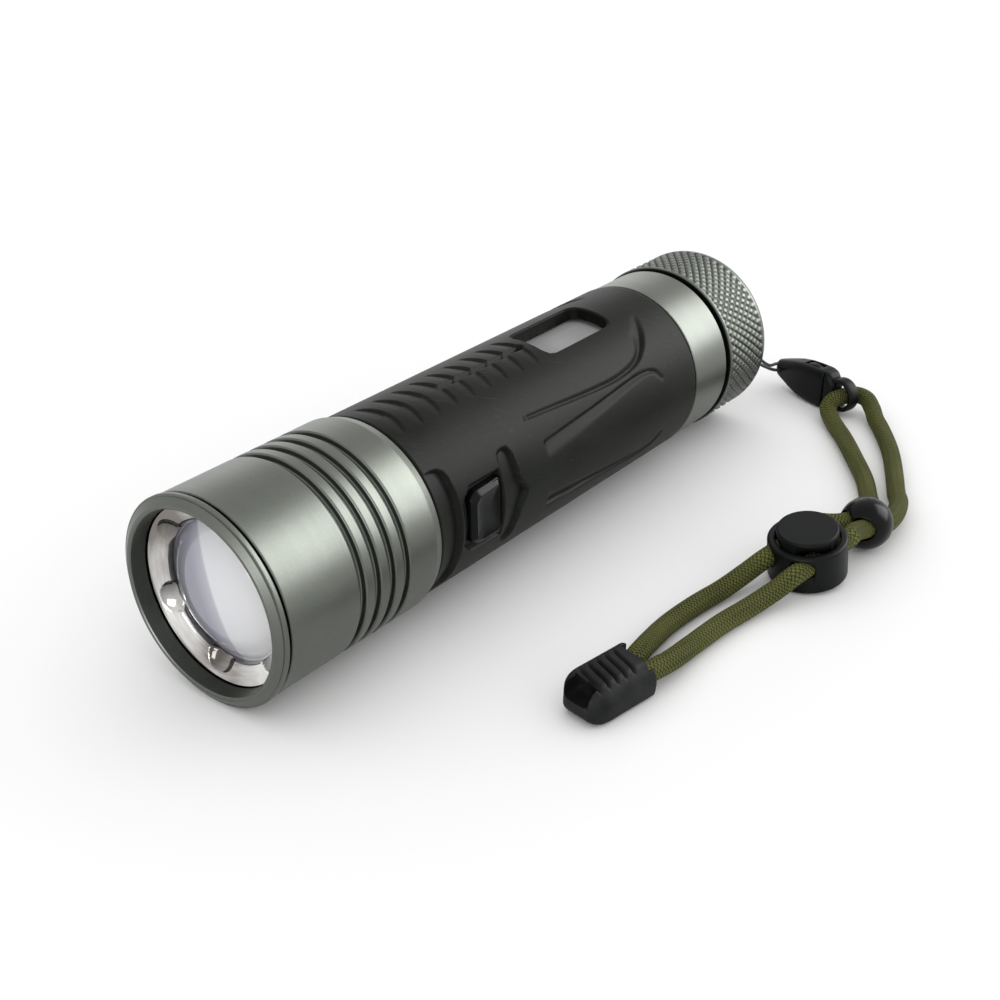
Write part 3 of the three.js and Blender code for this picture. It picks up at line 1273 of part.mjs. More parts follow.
function makeClipShells() {
  const [halfWidth, halfHeight] = [CLIP_WIDTH / 2, CLIP_HEIGHT / 2];
  const rings = clipNoseShares.map(([along, wide, high]) => {
    const size = new THREE.Vector3(wide * halfWidth, along * CLIP_LENGTH, high * halfHeight);
    return clipSectionShares.map(([x, z]) => new THREE.Vector3(x, 1, z).multiply(size));
  });
  const box = (x0, x1, y0, y1, z0, z1) => {
    const shape = new THREE.BoxGeometry(x1 - x0, y1 - y0, z1 - z0);
    return toSolid(shape.translate((x0 + x1) / 2, (y0 + y1) / 2, (z0 + z1) / 2));
  };
  const grooves = Array.from({ length: CLIP_GROOVES }, (_, i) => {
    const bar = new THREE.CylinderGeometry(CLIP_GROOVE, CLIP_GROOVE, CLIP_WIDTH, 6).rotateZ(Math.PI / 2);
    const station = CLIP_FIRST_GROOVE + i * CLIP_GROOVE_PITCH;
    return toSolid(bar.translate(-CLIP_GROOVE, station, halfHeight));
  });
  const half = CORD_RADIUS + FIT;
  const depth = CLIP_CHANNEL_LENGTH + OVERRUN;
  const outline = roundedBox(2 * (CLIP_STRAND_OFFSET + half), 2 * half, half);
  const channel = new THREE.ExtrudeGeometry(outline, { depth, bevelEnabled: false, curveSegments: 3 });
  channel.rotateX(-Math.PI / 2).translate(0, CLIP_LENGTH - CLIP_CHANNEL_LENGTH, 0);
  const lip = -CLIP_HOLLOW_WIDTH / 2;
  const top = halfHeight + OVERRUN;
  const mouth = box(lip, CLIP_WIDTH, CLIP_LENGTH - CLIP_MOUTH, CLIP_LENGTH + OVERRUN, CORD_RADIUS, top);
  const hollow = box(lip, -lip, -OVERRUN, CLIP_HOLLOW_LENGTH, halfHeight - CLIP_HOLLOW_DEPTH, top);
  const body = cutAll(toSolid(loft(rings)), [...grooves, toSolid(channel), mouth, hollow]);
  const above = box(-CLIP_WIDTH, CLIP_WIDTH, -CLIP_LENGTH, 2 * CLIP_LENGTH, FIT / 2, CLIP_HEIGHT);
  const below = box(-CLIP_WIDTH, CLIP_WIDTH, -CLIP_LENGTH, 2 * CLIP_LENGTH, -CLIP_HEIGHT, -FIT / 2);
  return [body.intersect(above), body.intersect(below)];
}

const [clipUpper, clipLower] = makeClipShells();
piece("clip_upper", clipUpper, "plastic", clip);
piece("clip_lower", clipLower, "plastic", clip);

export default part;
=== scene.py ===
# %% [markdown]
# # A zoom torch and its cord lanyard
# The real torch is an aluminium tube with a sliding head, a moulded grip and a knurled cap, and a
# doubled cord hangs from the cap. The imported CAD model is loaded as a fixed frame, and each
# visible solid gets a finer surface and a finish here. Such a model could be put together by hand
# from primitives. Here each surface is a formula over a grid of points, because a torch is turned
# and moulded to plain rules, and a number is easy to correct. Lengths are typed in millimetres. A
# station is a distance along the torch from its front rim, and an angle round it is counted from
# the top towards the lanyard.

import json
import math

import bmesh
import bpy
import numpy as np
from mathutils import Matrix, Vector


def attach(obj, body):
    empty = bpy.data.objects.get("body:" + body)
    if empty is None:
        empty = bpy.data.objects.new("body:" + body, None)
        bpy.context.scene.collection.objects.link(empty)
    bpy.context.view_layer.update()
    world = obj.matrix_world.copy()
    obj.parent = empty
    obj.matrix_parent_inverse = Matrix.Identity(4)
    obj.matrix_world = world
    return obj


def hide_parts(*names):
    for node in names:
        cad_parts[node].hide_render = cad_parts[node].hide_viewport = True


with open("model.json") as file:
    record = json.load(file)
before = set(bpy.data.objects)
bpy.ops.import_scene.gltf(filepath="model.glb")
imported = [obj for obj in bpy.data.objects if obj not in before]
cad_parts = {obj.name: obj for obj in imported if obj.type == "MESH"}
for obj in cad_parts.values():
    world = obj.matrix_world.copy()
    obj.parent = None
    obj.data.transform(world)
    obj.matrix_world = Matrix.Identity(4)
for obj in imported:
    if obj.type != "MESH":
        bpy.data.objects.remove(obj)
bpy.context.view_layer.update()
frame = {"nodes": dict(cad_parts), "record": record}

# Lengths are in millimetres and angles in degrees, but the camera's place is in metres.
MM = 0.001
TOTAL = 159.1
AXIS_HEIGHT = 20.0
TOP_ANGLE = 4.3
SIDE_ANGLE = 88.5
GRIP_RADIUS = 19.1
GRIP_FRONT = 41.3
GRIP_BACK = 128.0


# %% [markdown]
# ## The camera
# The photograph was taken from the front right and from a little above. A camera could be placed
# by eye. Here its place, direction and lens were worked out from the torch's rims and grooves,
# which are circles and show as ellipses, so that every later difference is one of shape or
# finish.

# %% Place the camera
CAMERA_PLACE = (0.1716, -0.2141, 0.1562)
CAMERA_LOOK = (-0.5449, 0.6879, -0.4795)


def make_camera():
    """A camera whose -Z axis is the direction of sight, and whose Y axis points as far up as it can."""
    data = bpy.data.cameras.new("camera")
    data.lens = 53.6
    data.sensor_width = 36.0
    data.sensor_fit = "HORIZONTAL"
    data.clip_start = 0.01
    data.clip_end = 20.0
    camera = bpy.data.objects.new("camera", data)
    camera.location = CAMERA_PLACE
    camera.rotation_euler = Vector(CAMERA_LOOK).to_track_quat("-Z", "Y").to_euler()
    bpy.context.scene.collection.objects.link(camera)
    bpy.context.scene.camera = camera
    print("camera", round(camera.location.length, 3), "m from the torch")


make_camera()


# %% [markdown]
# ## Surfaces from grids of points
# Most pieces of a torch are turned on a lathe, which is an outline carried round an axis.
# Blender's Spin or Screw could do that, but on a grid of points a knurl, a flat or a row of
# dimples can change the radius at any place, and every grid becomes a mesh in the same way.

# %% Add a piece that rides on the CAD
def add_object(name, mesh, body, nodes=(), material=None):
    """Links a mesh, gives it its material, and lets it ride on a CAD body in place of its nodes."""
    obj = bpy.data.objects.new(name, mesh)
    bpy.context.scene.collection.objects.link(obj)
    if material:
        mesh.materials.append(material)
    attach(obj, body)
    if nodes:
        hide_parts(*nodes)
    print(name, "rides on", body, "with", len(mesh.polygons), "faces")
    return obj


# %% Turn a grid of points into a mesh
def grid_mesh(name, points, close_rows=False, close_columns=False, uv=None, pit=None):
    """A quad mesh over an array of points, rows by columns by 3, in mm. uv and pit have the same rows
    and columns, and pit says how deep in a crevice each point lies, from 0 to 1."""
    rows, columns = points.shape[:2]
    index = np.arange(rows * columns).reshape(rows, columns)
    down = np.roll(index, -1, 0) if close_rows else index[1:]
    here = index if close_rows else index[:-1]
    if not close_columns:
        here, down = here[:, :-1], down[:, :-1]
        here_next, down_next = here + 1, down + 1
    else:
        here_next, down_next = np.roll(here, -1, 1), np.roll(down, -1, 1)
    faces = np.stack([here, here_next, down_next, down], -1)
    corner_uv = None
    if uv is not None:
        right = np.roll(uv, -1, 1)[: faces.shape[0], : faces.shape[1]].copy()
        if close_columns:
            right[:, -1] = uv[: faces.shape[0], -1] + (uv[: faces.shape[0], 1] - uv[: faces.shape[0], 0])
        here_uv = uv[: faces.shape[0], : faces.shape[1]]
        below = np.roll(uv, -1, 0)[: faces.shape[0], : faces.shape[1]]
        below_right = right + (below - here_uv)
        corner_uv = np.stack([here_uv, right, below_right, below], 2)
    faces = faces.reshape(-1, 4)
    mesh = bpy.data.meshes.new(name)
    mesh.vertices.add(rows * columns)
    mesh.vertices.foreach_set("co", (points * MM).astype(np.float32).ravel())
    mesh.loops.add(faces.size)
    mesh.loops.foreach_set("vertex_index", faces.astype(np.int32).ravel())
    mesh.polygons.add(len(faces))
    mesh.polygons.foreach_set("loop_start", np.arange(0, faces.size, 4, dtype=np.int32))
    mesh.update(calc_edges=True)
    if corner_uv is not None:
        layer = mesh.uv_layers.new(name="map")
        layer.data.foreach_set("uv", corner_uv.astype(np.float32).reshape(-1, 2).ravel())
    mesh.polygons.foreach_set("use_smooth", np.ones(len(faces), dtype=bool))
    mesh.validate()
    mesh.update()
    if pit is not None:
        store_pit(mesh, pit)
    return mesh


# %% [markdown]
# ## Painted shade in the crevices
# The grooves of a used torch look darker than what is round them, because shade gathers there.
# A material could find them with a pointiness or occlusion node, but neither outlives an export.
# So each point is told here how deep in a crevice it lies, in an attribute named pit, and the
# finishes paint shade from it.

# %% Find and store the crevices
def store_pit(mesh, pit):
    """Keeps how deep in a crevice each point lies, from 0 to 1, in the mesh's pit attribute."""
    layer = mesh.attributes.new("pit", "FLOAT", "POINT")
    layer.data.foreach_set("value", pit.astype(np.float32).ravel())


def crevices(deep, scale=0.75, passes=14):
    """How far each point of a depth map lies below the average of its neighbourhood, from 0 to 1."""
    calm = deep
    for _ in range(passes):
        calm = (2 * calm + np.roll(calm, 1, 0) + np.roll(calm, -1, 0)) / 4
        calm = (2 * calm + np.roll(calm, 1, 1) + np.roll(calm, -1, 1)) / 4
    return np.clip((deep - calm) / scale, 0, 1)


# %% [markdown]
# ## Lathe work
# A turned edge is never quite sharp, and the thin line of light on it is much of what makes metal
# look real. A bevel modifier could round the edges after the turning. Rounding the outline before
# it is carried round the axis is simpler, and gives each corner its own radius.

# %% Round an outline and turn it
def turned(radius, station, angle):
    """Points at a radius from the torch's axis, at a station, and at an angle in radians from up
    towards the lanyard's side: (r sin a, s - TOTAL / 2, r cos a + AXIS_HEIGHT)."""
    radius, station, angle = np.broadcast_arrays(radius, station, angle)
    return np.stack(
        [radius * np.sin(angle), station - TOTAL / 2, radius * np.cos(angle) + AXIS_HEIGHT], -1
    )


def filleted(points, radius=0.3, steps=4, support=0.12):
    """Rounds each inner corner of a [radius, station] outline with a small arc, and adds a point a
    little before and after it, so that the flats beside it still shade flat."""
    spots = [np.array(p[:2], float) for p in points]
    radii = [p[2] if len(p) > 2 else radius for p in points]
    out = [spots[0]]
    for before, corner, after, r in zip(spots, spots[1:], spots[2:], radii[1:]):
        a, b = before - corner, after - corner
        la, lb = np.linalg.norm(a), np.linalg.norm(b)
        a, b = a / la, b / lb
        half = math.acos(np.clip(a @ b, -1, 1)) / 2
        if half > 1.5:
            out.append(corner)
            continue
        cut = min(r / math.tan(half), 0.42 * la, 0.42 * lb)
        centre = corner + (a + b) / np.linalg.norm(a + b) * cut / math.cos(half)
        start, end = corner + a * cut, corner + b * cut
        gap = min(support, 0.3 * (la - cut), 0.3 * (lb - cut))
        out.append(start + a * gap)
        for t in np.linspace(0, 1, steps + 1):
            chord = start * (1 - t) + end * t - centre
            out.append(centre + chord / np.linalg.norm(chord) * np.linalg.norm(start - centre))
        out.append(end + b * gap)
    out.append(spots[-1])
    return np.array(out)


def lathe(name, outline, body, nodes, material, slot, segments=192, close=False, **round_by):
    """A turned surface from a [radius, station] outline, with its corners rounded."""
    profile = filleted(outline, **round_by)
    angle = np.linspace(0, 2 * np.pi, segments, endpoint=False)
    points = turned(profile[:, :1], profile[:, 1:], angle[None, :])
    mesh = grid_mesh(name, points, close_rows=close, close_columns=True)
    weld(mesh)
    return add_object(name, mesh, body, nodes, material)


# %% [markdown]
# ## Carved and rounded solids
# Moulded parts are blocks with holes and soft edges. A boolean modifier cuts the holes exactly, and
# a bevel rounds what the cut left sharp. The result is baked into a plain mesh, so that the
# cutters can go.

# %% Close a mesh and turn its faces outwards
def closed_mesh(name, rings):
    """A closed quad mesh through rings of points (rows by columns by 3, in mm), whose first and last
    rings are closed by a fan to their own centre."""
    first, last = rings[:1].mean(1, keepdims=True), rings[-1:].mean(1, keepdims=True)
    ends = [np.repeat(end, rings.shape[1], 1) for end in (first, last)]
    mesh = grid_mesh(name, np.concatenate([ends[0], rings, ends[1]]), close_columns=True)
    weld(mesh)
    return mesh


def weld(mesh, distance=1e-6):
    """Merges points that coincide, drops any that no face uses, and turns all faces outwards."""
    form = bmesh.new()
    form.from_mesh(mesh)
    bmesh.ops.remove_doubles(form, verts=form.verts, dist=distance)
    bmesh.ops.delete(form, geom=[v for v in form.verts if not v.link_faces], context="VERTS")
    bmesh.ops.recalc_face_normals(form, faces=form.faces)
    form.to_mesh(mesh)
    form.free()


# %% Carve and soften a mesh
def baked(mesh, modifiers):
    """The mesh as a list of (kind, settings) modifiers leaves it."""
    blank = bpy.data.objects.new("blank", mesh)
    bpy.context.scene.collection.objects.link(blank)
    for kind, settings in modifiers:
        modifier = blank.modifiers.new(kind, kind)
        for key, value in settings.items():
            setattr(modifier, key, value)
    shown = blank.evaluated_get(bpy.context.evaluated_depsgraph_get())
    result = bpy.data.meshes.new_from_object(shown)
    bpy.data.objects.remove(blank)
    bpy.data.meshes.remove(mesh)
    return result


def carved(mesh, cutters=(), additions=(), soften=0.0, steps=3, limit=35.0):
    """Adds some closed meshes, cuts others away, rounds the edges by soften, in mm, and welds the
    faces that the rounding left without any area."""
    helpers, modifiers = [], []
    for operation, shapes in (("UNION", additions), ("DIFFERENCE", cutters)):
        for shape in shapes:
            helper = bpy.data.objects.new("helper", shape)
            bpy.context.scene.collection.objects.link(helper)
            helpers.append(helper)
            modifiers.append(("BOOLEAN", {"operation": operation, "solver": "EXACT", "object": helper}))
    if soften:
        modifiers.append(
            ("BEVEL", {"width": soften * MM, "segments": steps, "limit_method": "ANGLE",
                       "angle_limit": math.radians(limit)})
        )
    modifiers.append(("WELD", {"merge_threshold": 0.002 * MM}))
    modifiers.append(("WEIGHTED_NORMAL", {"keep_sharp": True, "weight": 60}))
    result = baked(mesh, modifiers)
    for helper in helpers:
        shape = helper.data
        bpy.data.objects.remove(helper)
        bpy.data.meshes.remove(shape)
    result.polygons.foreach_set("use_smooth", np.ones(len(result.polygons), dtype=bool))
    return result


# %% Rounded sections, slabs and placing
def superellipse(half_width, half_height, power, count=48):
    """Points of |x / a|^n + |z / b|^n = 1: an ellipse at n = 2 and nearly a box at n = 8."""
    turn = np.linspace(0, 2 * np.pi, count, endpoint=False)
    c, s = np.cos(turn), np.sin(turn)
    k = (np.abs(c) ** power + np.abs(s) ** power) ** (-1 / power)
    return half_width * c * k, half_height * s * k


def slab(name, low, high, power=12.0, count=32):
    """A box between two corners with slightly round edges along its length, y."""
    (x0, y0, z0), (x1, y1, z1) = low, high
    x, z = superellipse((x1 - x0) / 2, (z1 - z0) / 2, power, count)
    x, z = x + (x0 + x1) / 2, z + (z0 + z1) / 2
    return closed_mesh(name, np.stack([np.stack([x, 0 * x + y, z], -1) for y in (y0, y1)]))


def moved(mesh, place, turn=0.0, tilt=0.0):
    """Tilts a mesh about x, turns it about z, then moves it, with the place in mm."""
    matrix = Matrix.Rotation(math.radians(turn), 4, "Z") @ Matrix.Rotation(math.radians(tilt), 4, "X")
    mesh.transform(Matrix.Translation(Vector(place) * MM) @ matrix)
    return mesh


# %% [markdown]
# ## The route of the cord
# The lanyard is one length of woven nylon cord, doubled over the buckle's eye. It lies in loose
# curves on the floor, and rises where the bead and the lock lift it. A curve object with a bevel
# would do, but a mesh tube keeps a map of its own, on which the weave can follow every bend. Most
# of the cord's points are those of the part's source. The sixteen from behind the bead to just past
# the eye were moved by up to 2.4 mm, to where the photograph shows the cord.

# %% Points of the cord's and the thread's route
CORD_ROUTE = [
    (57.1, -37, 4), (57.7, -33, 4), (58.35, -29.1, 4), (58.9, -23.5, 3.4), (58.6, -14.9, 2.3),
    (59.1, -5.1, 2.15), (60.4, 3, 2.3), (62.3, 9.6, 3.7), (63.7, 13.1, 5.4), (64.3, 16.1, 5.8),
    (66.65, 27.6, 7.5), (67.05, 29.6, 7.8), (66.5, 32.2, 7.35), (66.35, 34.9, 6.75),
    (67.5, 40.6, 5.6), (68.2, 44.2, 4.85), (67.5, 50.4, 4.1), (65.2, 57.4, 3.3), (62.8, 61.6, 2.5),
    (58.0, 70.8, 2.1), (52.3, 80.7, 2.1), (45.6, 90.0, 2.1), (42.0, 94.3, 2.3), (39.4, 97.6, 3.1),
    (36.8, 99.5, 4.2), (34.4, 99.6, 4.5), (32.8, 98.5, 4.5), (31.9, 96.4, 4.5), (31, 93.8, 4.3),
    (31, 91.2, 3.3), (33.4, 88.2, 2.2), (40.9, 80.2, 2.1), (47.8, 72, 2.1), (54.2, 64, 2.1),
    (59, 56.2, 2.3), (61.8, 52, 3), (64.45, 47.2, 4.3), (63.3, 41.4, 5.55), (62.1, 35.7, 6.75),
    (60.9, 33.2, 7.35), (59.4, 31.2, 7.8), (59, 29.2, 7.5), (56.65, 17.7, 5.8), (56.05, 14.7, 5.4),
    (54.8, 11.4, 4), (53.1, 5.2, 2.4), (51.8, -2.9, 2.15), (51.3, -11.7, 2.15),
    (52.3, -19.3, 2.9), (53.5, -24.6, 3.8), (54.15, -28.6, 4), (53.5, -32.4, 4), (52.9, -36.4, 4),
]
EYE_POINT = 27
THREAD_ROUTE = [
    (14.01, 77.9, 15.69), (14.01, 79.6, 15.69), (14.0, 80.6, 15.5), (12.7, 91, 9.3),
    (12.2, 99.9, 5), (12.85, 102.1, 5), (13.2, 104.4, 5), (12.1, 105.1, 5), (10.6, 104.4, 5),
    (9.9, 102.9, 5), (9.7, 100.4, 5.4),
    (10.6, 92, 10.6), (14.4, 80.6, 18.0), (14.55, 79.6, 18.24), (14.55, 77.9, 18.24),
]


# %% [markdown]
# ## From a route to a tube
# Cord has no corners. A centripetal Catmull-Rom curve goes through every point of the route
# without loops or cusps, and a circle is carried along it. Each circle is turned as little as
# possible from the one before, so that the weave doesn't twist.

# %% Smooth a route and sweep a tube
def smooth_route(points, per_span=10):
    """Points along a centripetal Catmull-Rom curve through the given ones."""
    p = np.array(points, float)
    p = np.vstack([2 * p[0] - p[1], p, 2 * p[-1] - p[-2]])
    out = []
    for i in range(1, len(p) - 2):
        p0, p1, p2, p3 = p[i - 1 : i + 3]
        d0, d1, d2 = (np.linalg.norm(b - a) ** 0.5 for a, b in ((p0, p1), (p1, p2), (p2, p3)))
        m1 = ((p1 - p0) / d0 - (p2 - p0) / (d0 + d1) + (p2 - p1) / d1) * d1
        m2 = ((p2 - p1) / d1 - (p3 - p1) / (d1 + d2) + (p3 - p2) / d2) * d1
        t = np.linspace(0, 1, per_span, endpoint=False)[:, None]
        a, b = 2 * (p1 - p2) + m1 + m2, -3 * (p1 - p2) - 2 * m1 - m2
        out.append(a * t**3 + b * t**2 + m1 * t + p1)
    return np.vstack(out + [p[-2:-1]])


def swept(name, path, radius, sides):
    """A round tube along a path, with u once round it and v its length in mm: a point is
    path + radius * (n cos u + b sin u), and both ends are closed to their middle."""
    along = np.gradient(path, axis=0)
    along /= np.linalg.norm(along, axis=1)[:, None]
    length = np.concatenate([[0], np.cumsum(np.linalg.norm(np.diff(path, axis=0), axis=1))])
    normal = np.array([0.0, 0.0, 1.0])
    frames = []
    for t in along:
        normal = normal - t * (normal @ t)
        normal /= np.linalg.norm(normal)
        frames.append((normal, np.cross(t, normal)))
    turn = np.linspace(0, 2 * np.pi, sides, endpoint=False)
    n = np.array([f[0] for f in frames])[:, None, :]
    b = np.array([f[1] for f in frames])[:, None, :]
    wide = np.broadcast_to(np.asarray(radius, float), (len(path),))[:, None, None]
    points = path[:, None, :] + wide * (n * np.cos(turn)[None, :, None] + b * np.sin(turn)[None, :, None])
    uv = np.stack(np.broadcast_arrays(turn[None, :] / (2 * np.pi), length[:, None]), -1)
    ends = [np.repeat(path[i][None, None, :], sides, 1) for i in (0, -1)]
    points = np.concatenate([ends[0], points, ends[1]])
    mesh = grid_mesh(name, points, close_columns=True, uv=np.concatenate([uv[:1], uv, uv[-1:]]))
    weld(mesh)
    return mesh, length[-1]


# %% [markdown]
# ## Finishes
# Nothing on the torch has one flat colour. Pictures of surfaces could be wrapped round the
# pieces, but they repeat and stretch. Each finish here is a small network of noise and colour
# ramps in object coordinates, with its grain, lines and scratches at their real size.

# %% A short way to write a material
class Nodes:
    """A short way to write a node material."""

    def __init__(self, name):
        self.material = bpy.data.materials.new(name)
        self.material.use_nodes = True
        self.tree = self.material.node_tree
        self.shader = self.tree.nodes["Principled BSDF"]
        self.coords = self.add("ShaderNodeTexCoord")

    def add(self, kind, inputs=(), **settings):
        """A node, with each input linked to a socket or set to a value."""
        node = self.tree.nodes.new(kind)
        for key, value in settings.items():
            setattr(node, key, value)
        for key, value in dict(inputs).items():
            if isinstance(value, bpy.types.NodeSocket):
                self.tree.links.new(value, node.inputs[key])
            else:
                node.inputs[key].default_value = value
        return node

    def set(self, **values):
        """Links or sets inputs of the shader, named with _ for a space."""
        for key, value in values.items():
            socket = self.shader.inputs[key.replace("_", " ")]
            if isinstance(value, bpy.types.NodeSocket):
                self.tree.links.new(value, socket)
            else:
                socket.default_value = value

    def math(self, operation, a, b=0.0):
        """One arithmetic operation on two values."""
        return self.add("ShaderNodeMath", {0: a, 1: b}, operation=operation).outputs[0]

    def stretched(self, x, y, z):
        """Object coordinates times a factor for each axis: about that many grains to the metre."""
        inputs = {"Vector": self.coords.outputs["Object"], "Scale": (x, y, z)}
        return self.add("ShaderNodeMapping", inputs).outputs[0]

    def noise(self, vector, scale=1.0, detail=3.0, rough=0.5):
        """Fractal noise from 0 to 1, whose finer octaves weaken by rough."""
        inputs = {"Vector": vector, "Scale": scale, "Detail": detail, "Roughness": rough}
        return self.add("ShaderNodeTexNoise", inputs).outputs[0]

    def ramp(self, factor, stops):
        """A colour read off between stops of (place, colour)."""
        node = self.add("ShaderNodeValToRGB", {"Fac": factor})
        elements = node.color_ramp.elements
        while len(elements) < len(stops):
            elements.new(0.5)
        for element, (place, colour) in zip(elements, stops):
            element.position = place
            element.color = (*colour, 1.0)
        return node.outputs[0]

    def with_painted_shade(self, colour, shade_colour, amount=0.92):
        """The colour, turned towards a painted shade colour as the piece's pit attribute rises."""
        pit = self.add("ShaderNodeAttribute", attribute_name="pit").outputs["Fac"]
        mix = self.add("ShaderNodeMix", {0: self.math("MULTIPLY", pit, amount)}, data_type="RGBA")
        self.tree.links.new(colour, mix.inputs[6])
        mix.inputs[7].default_value = (*shade_colour, 1.0)
        return mix.outputs[2]

    def bump(self, height, strength, distance):
        """Bends the light as a relief of this height would, distance mm deep."""
        inputs = {"Height": height, "Strength": strength, "Distance": distance * MM}
        node = self.add("ShaderNodeBump", inputs)
        self.tree.links.new(node.outputs[0], self.shader.inputs["Normal"])

    def done(self):
        """The finished material."""
        print("finish", self.material.name, "has", len(self.tree.nodes), "nodes")
        return self.material


def grey(value):
    """The same value for red, green and blue."""
    return (value, value, value)


# %% [markdown]
# ## Anodised aluminium
# The head, the tube and the cap are aluminium, blasted and anodised a slightly green grey. It is
# a metal, but a satin one: the reflections are wide and soft. A plain roughness would look like
# paint, so fine turned lines run round the axis, and a slow cloudiness keeps the tone from being
# even.

# %% Gunmetal
def make_gunmetal():
    """Satin anodised aluminium: turned lines round the axis, a fine grain and slow cloudiness."""
    m = Nodes("gunmetal")
    lines = m.noise(m.stretched(40, 9000, 40), 1.0, 2.0)
    grain = m.noise(m.stretched(5000, 5000, 5000), 1.0, 2.0)
    cloud = m.noise(m.stretched(60, 60, 60), 1.0, 3.0)
    tone = m.math("ADD", m.math("MULTIPLY", cloud, 0.5), m.math("MULTIPLY", grain, 0.5))
    # The pit darkens the colour towards near black: painted shade in the cap's knurl grooves and front
    # seam.
    m.set(
        Base_Color=m.with_painted_shade(
            m.ramp(tone, [(0.3, (0.105, 0.113, 0.1)), (0.7, (0.147, 0.156, 0.139))]),
            (0.012, 0.017, 0.012),
        ),
        Metallic=1.0,
        Roughness=m.math("ADD", 0.3, m.math("MULTIPLY", lines, 0.16)),
    )
    m.bump(m.math("ADD", lines, m.math("MULTIPLY", grain, 0.6)), 0.25, 0.02)
    return m.done()


gunmetal = make_gunmetal()


# %% [markdown]
# ## The grip's moulding
# The grip is black plastic with a soft, finely grained skin. Hands have rubbed it olive grey in
# patches and left thin pale scratches. The scratches could be drawn one by one. Noise that is
# stretched fifty to one and raised to a high power gives as many as are wanted, all thin.

# %% Grip plastic
def make_grip_plastic():
    """Black soft-touch moulding with a fine spark-eroded grain, olive grey where hands have rubbed
    it, thin pale scratches, and painted shade, near black, in its crevices."""
    m = Nodes("grip_plastic")
    grain = m.noise(m.stretched(2600, 2600, 2600), 1.0, 4.0, 0.6)
    wear = m.noise(m.stretched(48, 26, 48), 1.0, 5.0, 0.6)
    turned_coords = m.add(
        "ShaderNodeMapping", {"Vector": m.coords.outputs["Object"], "Rotation": (0.5, 0.3, 0.6)}
    ).outputs[0]
    streak = m.add("ShaderNodeMapping", {"Vector": turned_coords, "Scale": (2600, 50, 2600)}).outputs[0]
    scratch = m.math("POWER", m.noise(streak, 1.0, 1.0), 9.0)
    tone = m.math("ADD", wear, m.math("MULTIPLY", scratch, 3.0))
    # The pit turns the colour near black: painted shade in crevices, the slot and the holes' walls.
    m.set(
        Base_Color=m.with_painted_shade(
            m.ramp(
                tone,
                [
                    (0.36, (0.0028, 0.0033, 0.0024)), (0.66, (0.0125, 0.0145, 0.0102)),
                    (1.0, (0.03, 0.033, 0.027)),
                ],
            ),
            (0.0006, 0.0006, 0.0006),
        ),
        Roughness=m.math("ADD", 0.36, m.math("MULTIPLY", wear, 0.22)),
        Specular_IOR_Level=0.095,
    )
    m.bump(grain, 0.3, 0.05)
    return m.done()


grip_plastic = make_grip_plastic()


# %% [markdown]
# ## Smooth black plastic
# The button and the lanyard's fittings are smooth mouldings. What tells them apart is how glossy
# they are and how grey they have worn, so one function makes them all.

# %% Black plastics
def make_black_plastic(name="black_plastic", roughness=0.34, wear=0.0):
    """Smooth injection-moulded black plastic with slight unevenness, and worn greyer in patches."""
    m = Nodes(name)
    uneven = m.noise(m.stretched(220, 220, 220), 1.0, 4.0)
    grain = m.noise(m.stretched(3000, 3000, 3000), 1.0, 2.0)
    m.set(
        Base_Color=m.ramp(
            uneven,
            [(0.3, (0.0032, 0.0036, 0.004)), (0.75, (0.0065 + wear, 0.007 + wear, 0.007 + wear))],
        ),
        Roughness=m.math("ADD", roughness, m.math("MULTIPLY", uneven, 0.14)),
        Specular_IOR_Level=0.11,
    )
    m.bump(m.math("ADD", m.math("MULTIPLY", uneven, 2.0), grain), 0.25, 0.05)
    return m.done()


black_plastic = make_black_plastic()
gloss_plastic = make_black_plastic("gloss_plastic", 0.16)
satin_plastic = make_black_plastic("satin_plastic", 0.42)
worn_plastic = make_black_plastic("worn_plastic", 0.44, 0.014)


# %% [markdown]
# ## Rubber
# The gaskets are matt rubber, of which only dark lines are seen. A high roughness and a fine
# grain are enough.

# %% Seal rubber
def make_seal_rubber():
    """Matt black rubber."""
    m = Nodes("seal_rubber")
    grain = m.noise(m.stretched(2500, 2500, 2500), 1.0, 3.0)
    m.set(
        Base_Color=m.ramp(grain, [(0.3, grey(0.003)), (0.8, grey(0.007))]),
        Roughness=0.62,
        Specular_IOR_Level=0.06,
    )
    m.bump(grain, 0.4, 0.04)
    return m.done()


seal_rubber = make_seal_rubber()


# %% [markdown]
# ## Polished metal
# The slope round the lens is polished bright. A perfect mirror would show only the white room,
# where the real one picks up brownish reflections of things round it. Slow clouds of colour stand
# for them.

# %% Polished metal
def make_mirror():
    """Polished metal with faint circular polishing marks, clouds of colour that paint in brownish
    reflections, and painted shade where the pit attribute rises.
    """
    m = Nodes("polished")
    marks = m.noise(m.stretched(300, 4000, 300), 1.0, 3.0)
    cloud = m.noise(m.stretched(75, 75, 75), 1.0, 2.0)
    tone = m.math("ADD", m.math("MULTIPLY", cloud, 0.85), m.math("MULTIPLY", marks, 0.15))
    # The cloud ramp is a painted reflection, and the pit adds painted shade on one side of each dimple.
    m.set(
        Base_Color=m.with_painted_shade(
            m.ramp(
                tone,
                [(0.36, (0.22, 0.2, 0.185)), (0.5, (0.52, 0.505, 0.49)), (0.62, (0.8, 0.79, 0.77))],
            ),
            (0.06, 0.058, 0.052),
        ),
        Metallic=1.0,
        Roughness=m.math("ADD", 0.07, m.math("MULTIPLY", marks, 0.1)),
    )
    return m.done()


polished = make_mirror()
